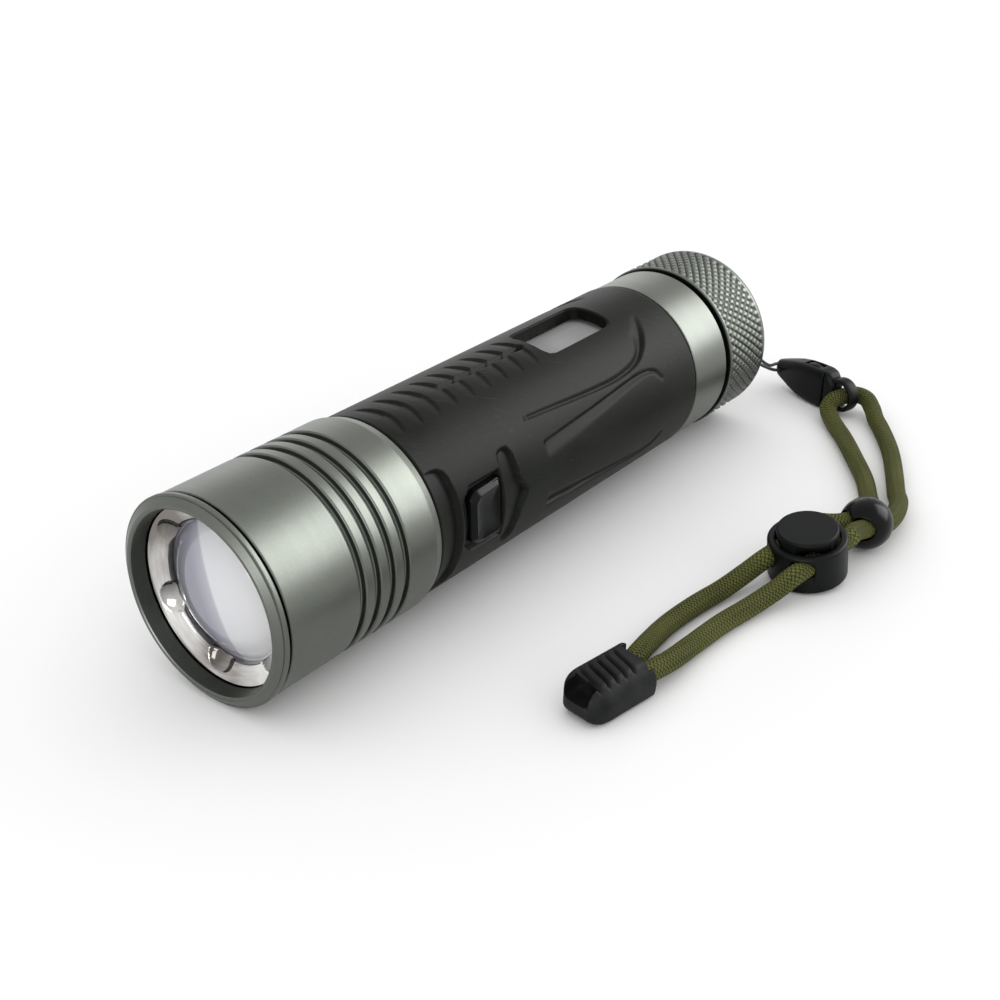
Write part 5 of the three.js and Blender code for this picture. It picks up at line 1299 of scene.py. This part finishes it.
# %% One mesh from the skin, the walls and the bore
def grid_faces(rows, columns, keep=None):
    """The quads between the points of a grid, or only those of the kept cells."""
    index = np.arange(rows * columns).reshape(rows, columns)
    faces = np.stack([index[:-1, :-1], index[:-1, 1:], index[1:, 1:], index[1:, :-1]], -1)
    return faces[keep] if keep is not None else faces.reshape(-1, 4)


def quad_mesh(name, parts):
    """One smooth mesh from parts of (points in mm, quads, crevices)."""
    offset, all_points, all_faces = 0, [], []
    for points, faces, _ in parts:
        all_points.append(points.reshape(-1, 3))
        all_faces.append(faces + offset)
        offset += all_points[-1].shape[0]
    mesh = bpy.data.meshes.new(name)
    mesh.from_pydata((np.vstack(all_points) * MM).tolist(), [], np.vstack(all_faces).tolist())
    mesh.polygons.foreach_set("use_smooth", np.ones(len(mesh.polygons), dtype=bool))
    store_pit(mesh, np.concatenate([pit.ravel() for _, _, pit in parts]))
    weld(mesh)
    return mesh


def on_grip(radius, c, s):
    """Rolls up the sheet: the angle is that of the top line plus c / GRIP_RADIUS."""
    return turned(radius, s, math.radians(TOP_ANGLE) + c / GRIP_RADIUS)


def sharpen_rims(mesh):
    """Marks as sharp the edges that run along the outline of a hole: at the skin, and at the bore of the
    window, whose points keep their arcs.
    """
    place = np.empty(len(mesh.vertices) * 3)
    mesh.vertices.foreach_get("co", place)
    x, y, z = place.reshape(-1, 3).T / MM
    z = z - AXIS_HEIGHT
    arc = (np.arctan2(x, z) - math.radians(TOP_ANGLE) + np.pi) % (2 * np.pi) - np.pi
    on_rim = np.abs(hole_distance(arc * GRIP_RADIUS, y + TOTAL / 2)) < 0.05
    ends = np.empty(len(mesh.edges) * 2, dtype=np.int32)
    mesh.edges.foreach_get("vertices", ends)
    a, b = ends.reshape(-1, 2).T
    level = np.hypot(x, z)
    sharp = on_rim[a] & on_rim[b] & (np.abs(level[a] - level[b]) < 0.8)
    mesh.attributes.new("sharp_edge", "BOOLEAN", "EDGE").data.foreach_set("value", sharp)
    print("sharp rim edges:", int(sharp.sum()))


# %% [markdown]
# ## Walls of the holes and the whole sleeve
# A wall along the radius would lean in on the button, because radii meet at the axis. So the walls
# of its hole are made nearly parallel, by moving the bore's points apart. The outline of the hole
# is laid out at the grip's full radius, while its rim lies lower, on the recess's floor, where the
# arcs are shorter. So the rim still cuts into the foot of the button's wall, 0.16 mm deep at most.

# %% Walls for the holes
def beside_button(c, bore):
    """Arcs on the bore that keep the hole's walls parallel: bore * sin(new / R) = R * sin(old / R),
    counted from the button's middle. The shift fades out between 7 and 13.5 mm from it."""
    whole, none = 7.0, 13.5
    x = c - SIDE_ARC
    near = np.clip(x, -whole, whole)
    shift = GRIP_RADIUS * np.arcsin(GRIP_RADIUS / bore * np.sin(near / GRIP_RADIUS)) - near
    return c + shift * np.clip((none - np.abs(x)) / (none - whole), 0, 1)


def hole_walls(keep):
    """Quads from the skin to the bore, one for each edge between a kept cell and a hole. The bore's
    points follow the skin's in the same order, so that a point's partner is count places on."""
    rows, columns = keep.shape[0] + 1, keep.shape[1] + 1
    count = rows * columns
    index = np.arange(count).reshape(rows, columns)
    padded = np.pad(keep, 1, constant_values=True)
    across = padded[:-1, 1:-1] != padded[1:, 1:-1]
    along = padded[1:-1, :-1] != padded[1:-1, 1:]
    above_kept = padded[:-1, 1:-1][across]
    a, b = index[:, :-1][across], index[:, 1:][across]
    edges = [np.where(above_kept[:, None], np.stack([b, a], 1), np.stack([a, b], 1))]
    left_kept = padded[1:-1, :-1][along]
    a, b = index[:-1, :][along], index[1:, :][along]
    edges.append(np.where(left_kept[:, None], np.stack([a, b], 1), np.stack([b, a], 1)))
    edges = np.vstack(edges)
    return np.stack([edges[:, 1], edges[:, 0], edges[:, 0] + count, edges[:, 1] + count], 1)


# %% Grip sleeve
def make_grip():
    """Skin at GRIP_RADIUS - depth, bore at a fixed radius, and walls between them at holes and ends."""
    bore = 16.6
    button_lines = [
        (side * at, reach) for side in (1, -1) for at, reach in ((8.2, 1.8), (6.3, 0.3), (13.1, 0.3))
    ]
    c_lines = grid_lines(
        [(-HALF_ROUND, -40, 1.6), (-40, 43, 0.56), (43, HALF_ROUND + 0.2, 1.6)],
        [(0.0, 1.2, 0.16), (5.9, 0.45, 0.15), (-5.9, 0.45, 0.15)]
        + [(side * 14.6, 3.0, 0.24) for side in (1, -1)]
        + [(SIDE_ARC + at, reach, 0.2) for at, reach in button_lines]
        + [(-SIDE_ARC + side * 8.2, 1.6, 0.24) for side in (1, -1)],
    )
    c_lines[-1] = HALF_ROUND
    s_lines = grid_lines(
        [(GRIP_FRONT, 91.0, 0.34), (91.0, GRIP_BACK, 0.5)],
        [
            (41.5, 0.3, 0.1), (127.3, 0.8, 0.12), (89.3, 0.4, 0.12), (111.7, 0.4, 0.12),
            (50.0, 0.3, 0.12), (59.3, 0.3, 0.12),
        ],
    )
    s_lines[-1] = GRIP_BACK
    c, s, keep, rim = punched_grid(c_lines, s_lines)
    deep = grip_depth(c, s)
    # The pit paints shade: half at the holes' rims, full in the deep slot, and by depth in the other
    # crevices.
    slot = (np.abs(c) < 1.2) & (np.abs(s - SLOT_MIDDLE) < 13.2)
    pit = np.where(rim, 0.5, np.where(slot & (deep > 0.7), 1, crevices(deep)))
    outer = on_grip(GRIP_RADIUS - deep, c, s)
    rows, columns = c.shape
    parts = [(outer, grid_faces(rows, columns, keep), pit)]
    wall = on_grip(np.full(c.shape, bore), beside_button(c, bore), s)
    both = np.stack([outer.reshape(-1, 3), wall.reshape(-1, 3)])
    # The holes' walls get painted shade of 0.9.
    parts.append((both, hole_walls(keep), np.stack([pit, 0.9 + 0 * pit])))
    for row, flip in ((0, 1), (-1, -1)):
        ring = np.stack([outer[row], wall[row]])
        faces = grid_faces(2, columns)
        parts.append((ring, faces[:, ::-1] if flip > 0 else faces, np.zeros(ring.shape[:2])))
    holed = np.flatnonzero(~keep.all(1))
    few = np.unique(np.concatenate([np.arange(0, rows, 8), [rows - 1], holed, holed + 1]))
    parts.append((wall[few], grid_faces(len(few), columns, keep[few[:-1]])[:, ::-1], 0 * c[few]))
    mesh = quad_mesh("grip", parts)
    sharpen_rims(mesh)
    add_object("grip", mesh, "handle", ["grip_sleeve"], grip_plastic)


make_grip()


# %% [markdown]
# ## The side button
# The switch is under a small block on the side, with a sloping rim and a shallow dish for the
# thumb. It is built from rings of one outline that shrink towards its middle, because a bevelled
# cube wouldn't keep the tapered outline.

# %% Side button
def make_button():
    """A block on the button's outline, of rings that shrink to a share of it. Its rim slopes, and its
    top is a shallow dish: its radius is 18.75 + 0.3 * (share / 0.79)^3, and rises a little forwards."""
    outline = np.array(BUTTON)
    middle = np.array([0.0, 54.65])
    corners = np.vstack([outline, outline[:1]])
    length = np.concatenate([[0], np.cumsum(np.linalg.norm(np.diff(corners, axis=0), axis=1))])
    at = np.linspace(0, length[-1], 160, endpoint=False)
    rim = np.stack([np.interp(at, length, corners[:, i]) for i in (0, 1)], -1)
    for _ in range(6):
        rim = (np.roll(rim, 1, 0) + 2 * rim + np.roll(rim, -1, 0)) / 4
    rows = [(1.0, 16.7), (1.0, 17.95), (0.995, 18.15), (0.975, 18.3)]
    rows += [(0.975 - 0.15 * u, 18.3 + 0.75 * u) for u in np.linspace(0.1, 1, 8)]
    rows += [(0.81, 19.08), (0.79, 19.06)]
    rows += [(s, 18.75 + 0.3 * (s / 0.79) ** 3) for s in np.linspace(0.77, 0.02, 22)]
    rings = []
    for share, radius in rows:
        spot = middle + (rim - middle) * share
        lean = 0.16 * (middle[1] - spot[:, 1]) / 4.25 if radius > 18.4 else 0 * spot[:, 1]
        across = math.radians(SIDE_ANGLE)
        r, x = radius + lean, spot[:, 0]
        rings.append(np.stack([
            r * math.sin(across) + x * math.cos(across),
            spot[:, 1] - TOTAL / 2,
            r * math.cos(across) - x * math.sin(across) + AXIS_HEIGHT,
        ], -1))
    mesh = closed_mesh("button_cap", np.array(rings))
    add_object("button_cap", mesh, "button", ["side_button"], gloss_plastic)


make_button()


# %% [markdown]
# ## The buckle's socket
# A small quick-release buckle parts the cord from the thread. Its socket is a flattened cone that
# swells towards an open mouth, with a hole for the thread and a window on each side. A loft of
# superellipses gives the cone, which is oval in front and nearly a box behind, and booleans cut
# the openings.

# %% Buckle socket
BUCKLE = dict(place=(11.2, 102.5, 5.0), turn=-16.4)


def along_buckle(name, rows, count=56):
    """A closed form along x from rows of (x, half thickness, half height, power, middle height)."""
    rings = []
    for x, thick, high, power, middle in rows:
        y, z = superellipse(thick, high, power, count)
        rings.append(np.stack([0 * y + x, y, z + middle], -1))
    return closed_mesh(name, np.array(rings))


def make_buckle_socket():
    """A shell along the rows: out over the cone, round the mouth and back inside to its bottom, with a
    round hole across it for the thread and a window in each narrow side."""
    outer = [
        (0.0, 0.7, 1.2, 2.5, 0), (0.15, 1.05, 1.65, 2.7, 0), (0.5, 1.3, 2.05, 3.0, 0),
        (1.2, 1.5, 2.3, 3.4, 0), (3.0, 1.75, 2.95, 3.8, 0), (5.0, 2.15, 3.6, 4.2, 0),
        (7.0, 2.5, 4.15, 4.8, 0), (9.5, 2.72, 4.6, 5.2, 0), (12.5, 2.8, 4.84, 5.6, 0),
        (15.6, 2.8, 4.9, 6.0, 0), (16.6, 2.76, 4.86, 6.0, 0), (17.0, 2.6, 4.7, 6.0, 0),
        (17.0, 1.85, 3.95, 6.0, 0), (16.7, 1.7, 3.8, 7.0, 0), (6.2, 1.7, 3.8, 7.0, 0),
    ]
    turn = np.linspace(0, 2 * np.pi, 24, endpoint=False)
    ring = np.stack([1.7 + 0.75 * np.cos(turn), 0 * turn, 0.75 * np.sin(turn)], -1)
    hole = closed_mesh("hole", np.stack([ring + (0, -4, 0), ring + (0, 4, 0)]))
    windows = [
        along_buckle("window", [(x, 1.35, 1.9, 5, side * 4.9) for x in (9.6, 14.9)])
        for side in (1, -1)
    ]
    mesh = carved(along_buckle("socket", outer), [hole, *windows], soften=0.22)
    moved(mesh, **BUCKLE)
    return add_object(
        "buckle_socket_shell", mesh, "tail", ["buckle_socket"], black_plastic
    )


# %% [markdown]
# ## The buckle's plug
# The plug's two sprung arms reach into the socket, and their rounded pads show in its windows. A
# round eye holds the cord. The parts are lofted one by one and joined, and a small bevel rounds
# the seams between them, as a mould would.

# %% Buckle plug
def make_buckle_plug():
    """A shoulder, two sprung arms with rounded press pads, and an eye: a round section of 1.2 by 3.2
    mm carried round a circle of 3.6 mm."""
    shoulder = [
        (17.24, 2.2, 4.7, 6.0, 0), (17.34, 2.4, 4.86, 6.0, 0), (18.0, 2.4, 4.7, 5.0, 0),
        (18.8, 2.2, 4.0, 4.0, 0), (19.6, 1.9, 3.2, 3.0, 0), (20.0, 1.4, 2.4, 2.6, 0),
    ]
    turn = np.linspace(0, 2 * np.pi, 96, endpoint=False)[:, None]
    wide, high = superellipse(0.6, 1.6, 3.0, 28)
    r = 3.6 + wide[None, :]
    eye = np.stack(np.broadcast_arrays(21.5 + r * np.cos(turn), high, r * np.sin(turn)), -1)
    eye_mesh = grid_mesh("eye", eye, close_rows=True, close_columns=True)
    weld(eye_mesh)
    parts = [eye_mesh]
    for side in (1, -1):
        arm = [
            (7.3, 0.7, 0.3, 4, side * 2.8), (7.9, 1.2, 0.5, 5, side * 2.9),
            (9.0, 1.35, 0.55, 6, side * 2.95), (17.6, 1.35, 0.55, 6, side * 2.95),
        ]
        parts.append(along_buckle("arm", arm))
        pad = [
            (9.9, 0.5, 0.35, 2.5, side * 3.6), (10.2, 0.95, 0.7, 3, side * 3.75),
            (11.2, 1.15, 1.0, 3, side * 3.8), (12.6, 1.15, 1.08, 3, side * 3.8),
            (13.8, 1.1, 0.9, 3, side * 3.7), (14.4, 0.8, 0.6, 2.5, side * 3.6),
        ]
        parts.append(along_buckle("pad", pad))
    parts.append(along_buckle("guide", [(8.4, 1.3, 0.55, 6, 0), (17.6, 1.3, 0.55, 6, 0)]))
    mesh = carved(along_buckle("shoulder", shoulder), [], parts, soften=0.12, steps=2, limit=50)
    moved(mesh, **BUCKLE)
    return add_object(
        "buckle_plug_shell", mesh, "lanyard", ["buckle_plug"], black_plastic
    )


buckle = [make_buckle_socket(), make_buckle_plug()]


# %% [markdown]
# ## The bead
# A round bead with a wide bore gathers both strands. A sphere with a cylinder cut from it would
# do, but two cords side by side need a bore of two lanes, and a soft lip. So the wall is one
# closed curve in each direction from the axis: over the sphere, round the lip and back through
# the bore.

# %% Cord bead
def make_bead():
    """A sphere cut by a two-lane bore. Along each direction from the axis the wall runs over the
    sphere, (R cos p, R sin p), from one mouth to the other, and back through the bore."""
    sphere, offset, bore = 5.45, 2.15, 2.36
    turn = np.linspace(0, 2 * np.pi, 144, endpoint=False)
    c, s = np.cos(turn), np.sin(turn)
    lane = offset * np.abs(c)
    rim = lane + np.sqrt(np.maximum(bore**2 - (offset * s) ** 2, 0))
    rim = np.where(np.abs(s) * rim > bore, bore / np.maximum(np.abs(s), 1e-6), rim)
    edge = np.arccos(rim / sphere)
    reach = edge - 0.09
    rows = [(sphere * np.cos(u * reach), sphere * np.sin(u * reach)) for u in np.linspace(-1, 1, 61)]
    mouth = sphere * np.sin(edge)
    start, inner = rows[-1], (rim, mouth - 0.45)
    bend = [
        tuple(
            (1 - u) ** 2 * a + 2 * u * (1 - u) * b + u * u * e
            for a, b, e in zip(start, (rim, mouth), inner)
        )
        for u in np.linspace(0.15, 1, 8)
    ]
    rows += bend + [(r, y * 0.4) for r, y in bend[-1:]] + [(r, -y * 0.4) for r, y in bend[-1:]]
    rows += [(r, -y) for r, y in bend[::-1]]
    points = np.array([np.stack([r * c, y + 0 * r, r * s], -1) for r, y in rows])
    mesh = grid_mesh("bead", points, close_rows=True, close_columns=True)
    weld(mesh)
    moved(mesh, (65.4, 41.0, 5.55), -11.6, -11.8)
    return add_object("bead", mesh, "bead", ["cord_bead"], gloss_plastic)


bead = make_bead()


# %% [markdown]
# ## The cord lock
# The lock is a cup with a plunger in it. Holes go across both, and a spring inside pushes them
# out of line, so that they pinch the cord. Both are turned, and the lanes for the two strands are
# cut with booleans, which also leave the true curved edges where a lane meets the wall.

# %% Turned blanks and lanes
LOCK = dict(place=(61.8, 23.4, 0.1 + 7.9 * math.sin(math.radians(8))), turn=-11.5, tilt=8.0)


def spun(name, outline, count=128, **round_by):
    """A closed form turned about z from an open [radius, height] outline that ends on the axis."""
    profile = filleted(outline, **round_by)
    turn = np.linspace(0, 2 * np.pi, count, endpoint=False)
    r, z = profile[1:-1, :1], profile[1:-1, 1:]
    return closed_mesh(name, np.stack(np.broadcast_arrays(r * np.cos(turn), r * np.sin(turn), z), -1))


def lane(x, low, high, radius=2.3):
    """A straight channel along y, as wide as a strand and from a low to a high limit."""
    turn = np.linspace(0, 2 * np.pi, 40, endpoint=False)
    z = radius * np.sin(turn)
    z = np.where(z > 0, z + high - radius, z + low + radius)
    ring = np.stack([x + radius * np.cos(turn), 0 * turn, z], -1)
    return closed_mesh("lane", np.stack([ring + (0, -20, 0), ring + (0, 20, 0)]))


# %% Lock cup and plunger
WELL_RADIUS = 1.3
WELL_TOP = 9.05
LANE_OFFSET = 3.9
LANE_FLOOR = 3.2


def make_lock():
    """A turned cup, and a turned plunger in it with a well for the spring. Each has two lanes, at
    LANE_OFFSET to either side, and the plunger's are taller, so that it can move."""
    cup = [(0, 0), (7.9, 0, 0.5), (7.9, 8.4, 0.65), (6.4, 8.4, 0.35), (6.4, 0.8, 0.3), (0, 0.8)]
    lanes = [lane(side * LANE_OFFSET, LANE_FLOOR, 7.8) for side in (1, -1)]
    mesh = carved(spun("cup", cup), lanes, soften=0.18, steps=2)
    moved(mesh, **LOCK)
    cup_piece = add_object("lock_cup", mesh, "lanyard", ["lock_body"], black_plastic)
    top = [(0, 2.4), (6.1, 2.4, 0.2), (6.1, 10.5, 0.42), (0, 10.5)]
    lanes = [lane(side * LANE_OFFSET, LANE_FLOOR, 9.0) for side in (1, -1)]
    mesh = carved(spun("plunger", top, steps=6), lanes)
    well = [(0, 2.0), (WELL_RADIUS, 2.0), (WELL_RADIUS, WELL_TOP), (0, WELL_TOP)]
    mesh = carved(mesh, [spun("well", well, 32, radius=0.05)])
    moved(mesh, **LOCK)
    plunger = add_object(
        "lock_plunger", mesh, "lock_button", ["lock_button"], satin_plastic
    )
    return cup_piece, plunger


lock = make_lock()


# %% [markdown]
# ## The end clip
# A ribbed clip covers the knot in the cord's ends. Its section is a rounded box with one broad
# worn bevel, its nose is blunt, and slanting grooves cross its top. All of that is one grid. The
# hollow in its nose and the cord's mouth are cut afterwards, because their edges have to be
# crisp.

# %% Section of the clip
def clip_section(top, count=120):
    """The clip's section as points at even spacing: a flat top, a broad worn bevel towards +x, and
    round lower corners. Each corner is a three-point curve."""
    corners = [
        (-4.0, -3.9, 0.9), (4.3, -3.9, 1.1), (4.85, -0.4, 1.6), (4.1, 1.6, 0.6), (2.7, 3.5, 0.7),
        (-3.5, top, 0.7), (-4.6, 3.0, 0.9), (-4.9, -2.8, 1.0),
    ]
    spots = np.array([c[:2] for c in corners])
    points = []
    for i, (x, z, cut) in enumerate(corners):
        here = spots[i]
        for other in (spots[i - 1], spots[(i + 1) % len(spots)]):
            points.append(here + (other - here) * min(0.45, cut / np.linalg.norm(other - here)))
        start, end = points[-2], points[-1]
        points[-1:] = [
            (1 - u) ** 2 * start + 2 * u * (1 - u) * here + u * u * end for u in (0.2, 0.4, 0.6, 0.8, 1.0)
        ]
    points = np.array(points + points[:1])
    length = np.concatenate([[0], np.cumsum(np.linalg.norm(np.diff(points, axis=0), axis=1))])
    at = np.linspace(0, length[-1], count, endpoint=False)
    return np.interp(at, length, points[:, 0]), np.interp(at, length, points[:, 1])


# %% End clip
def make_clip():
    """Rows of one section. The nose shrinks it by (1 - (1 - y / n)^p)^(1 / p), and grooves sink its
    top by depth * exp(-(x / w)^2), with x across them, along lines that slant towards the nose."""
    nose_length, power = 4.6, 2.2
    pitch, groove_width = 2.1, 0.33
    x, z = clip_section(3.9)
    nose_rows, end_rows = [0.0, 0.05, 0.15, 0.3, 0.5, 0.8], [15.55, 15.7, 15.8]
    rings = []
    for y in np.concatenate([nose_rows, np.arange(1.1, 15.5, 0.12), end_rows]):
        nose = (1 - np.clip(1 - y / nose_length, 0, 1) ** power) ** (1 / power)
        back = 1 - 0.09 * np.clip((y - 15.3) / 0.5, 0, 1) ** 2
        wide, high = (0.46 + 0.54 * nose) * back, (0.4 + 0.6 * nose) * back
        slant = y + 0.2 * (x + 2.5)
        away = np.mod(slant - 3.9 + pitch / 2, pitch) - pitch / 2
        groove = np.exp(-(away / groove_width) ** 2) * (slant > 2.9) * (slant < 13.4)
        groove = groove * np.clip((x + 3.6) / 0.9, 0, 1) * np.clip((3.5 - x) / 0.8, 0, 1)
        drop = 0.75 * groove * np.clip((z - 1.6) / 1.2, 0, 1)
        rings.append(np.stack([x * wide, 0 * x + y, z * high - drop], -1))
    outer = closed_mesh("clip", np.array(rings))
    hollow = slab("hollow", (-3.0, -1.0, 0.0), (2.6, 2.9, 6.0), 6.0)
    mouth = slab("mouth", (-3.1, 14.3, 1.7), (6.0, 17.0, 5.0), 10.0)
    bores = [lane(side * 2.12, -2.3, 2.3) for side in (1, -1)]
    for bore in bores:
        bore.transform(Matrix.Translation(Vector((0, 26.3, 0)) * MM))
    mesh = carved(outer, [hollow, mouth, *bores], soften=0.16, steps=2, limit=45)
    # The faces of the nose's hollow get the black rubber finish, a dark finish put there as painted
    # shade.
    centres = np.empty(len(mesh.polygons) * 3)
    mesh.polygons.foreach_get("center", centres)
    px, py, pz = centres.reshape(-1, 3).T / MM
    within = (px > -3.05) & (px < 2.65) & (py > 0.05) & (py < 3.0) & (pz > -0.1) & (pz < 3.3)
    moved(mesh, (53.8, -44.6, 4.0), -8.7)
    nodes = ["clip_upper", "clip_lower"]
    clip = add_object("end_clip", mesh, "lanyard", nodes, worn_plastic)
    mesh.materials.append(seal_rubber)
    mesh.polygons.foreach_set("material_index", within.astype(np.int32))
    return clip


end_clip = make_clip()


# %% [markdown]
# ## The two strands and the thread
# Both strands are the same cord: one half of the route leads from the buckle's eye round the
# right side to the clip, the other round the left. Each is swept at its thickness and its length
# is printed, since a cord is known by these.

# %% Sweep the strands and the thread
def make_cords():
    """Each strand leaves the buckle's eye and ends in the clip. Together they are one cord."""
    strands = []
    for name, points in (
        ("cord_right", CORD_ROUTE[: EYE_POINT + 1][::-1]),
        ("cord_left", CORD_ROUTE[EYE_POINT:]),
    ):
        path = smooth_route(points)
        mesh, length = swept(name, path, 2.0, 28)
        strand = add_object(name, mesh, "lanyard", ["lanyard_cord"], woven_cord)
        strands.append((strand, path, length))
        print(name, "is", round(length, 1), "mm long")
    path = smooth_route(THREAD_ROUTE)
    mesh, length = swept("thread", path, 0.4, 12)
    thread = add_object("thread", mesh, "tail", ["lanyard_thread"], thread_finish)
    return strands, (thread, path, length)


strands, thread = make_cords()


# %% [markdown]
# ## The floor and the light
# Every round piece in the photograph has its bright band a little less than 50 degrees down from
# the top. A lamp that is to be seen in a round surface belongs in the mirror direction of that
# place: twice the normal times its part along the view, less the view. A second, weaker lamp
# brightens the top edge, and a third lights the bevel of the head and keeps the small black pieces
# readable. All three are seen in gloss and through glass alone. The soft light comes from the
# world, which is a little brighter than white for the light that it casts, and just white for what
# metal, glass and the camera see of it. So the background is white however bright the soft light
# is made.

# %% Which rays see the background
def seen_rays(tree):
    """1 for rays from the camera, off gloss or through glass, and 0 for those that carry soft light."""
    path = tree.nodes.new("ShaderNodeLightPath")
    seen = path.outputs["Is Camera Ray"]
    for ray in ("Is Glossy Ray", "Is Transmission Ray"):
        either = tree.nodes.new("ShaderNodeMath")
        either.operation = "MAXIMUM"
        tree.links.new(seen, either.inputs[0])
        tree.links.new(path.outputs[ray], either.inputs[1])
        seen = either.outputs[0]
    return seen


# %% Floor and world
WORLD_LIGHT = 1.1


def make_stage():
    """A pale floor, and a world whose strength is WORLD_LIGHT for soft light and 1 where it is seen."""
    bpy.ops.mesh.primitive_plane_add(size=6.0, location=(0, 0, 0))
    floor = bpy.context.object
    floor.name = "floor"
    m = Nodes("floor_finish")
    m.set(Base_Color=(0.93, 0.93, 0.93, 1.0), Roughness=0.9)
    floor.data.materials.append(m.done())
    world = bpy.data.worlds.new("world")
    world.use_nodes = True
    tree = world.node_tree
    background = tree.nodes["Background"]
    background.inputs["Color"].default_value = (1.0, 1.0, 1.0, 1.0)
    seen = seen_rays(tree)
    strength = tree.nodes.new("ShaderNodeMapRange")
    strength.inputs["To Min"].default_value = WORLD_LIGHT
    strength.inputs["To Max"].default_value = 1.0
    tree.links.new(seen, strength.inputs["Value"])
    tree.links.new(strength.outputs[0], background.inputs["Strength"])
    bpy.context.scene.world = world
    bpy.context.scene.view_settings.view_transform = "Standard"


make_stage()


# %% Lamps
def mirror_direction(angle, lean=0.0):
    """Where a lamp must stand to be seen in the torch's side at an angle in degrees from its top line,
    or on a slope there that leans forwards: 2 (n . view) n - view."""
    angle, lean = math.radians(angle), math.radians(lean)
    normal = Vector((math.sin(angle) * math.cos(lean), -math.sin(lean), math.cos(angle) * math.cos(lean)))
    view = (-Vector(CAMERA_LOOK)).normalized()
    return 2 * normal.dot(view) * normal - view


def make_lamp(name, direction, size, radiance):
    """A square softbox one metre away, which gives no soft light: all of that is the world's. Cycles
    gives it power / (4 * area) of radiance."""
    data = bpy.data.lights.new(name, "AREA")
    data.shape = "SQUARE"
    data.size = size
    data.energy = 4 * size**2 * radiance
    light = bpy.data.objects.new(name, data)
    light.location = direction
    light.rotation_euler = (-Vector(direction)).to_track_quat("-Z", "Y").to_euler()
    light.visible_diffuse = False
    bpy.context.scene.collection.objects.link(light)
    print(name, "at", [round(c, 3) for c in light.location], "power", round(data.energy, 2))


make_lamp("band_light", mirror_direction(47), 0.76, 5.3)
make_lamp("edge_light", mirror_direction(-12), 0.7, 0.5)
make_lamp("front_light", mirror_direction(46, 54), 0.42, 6.0)
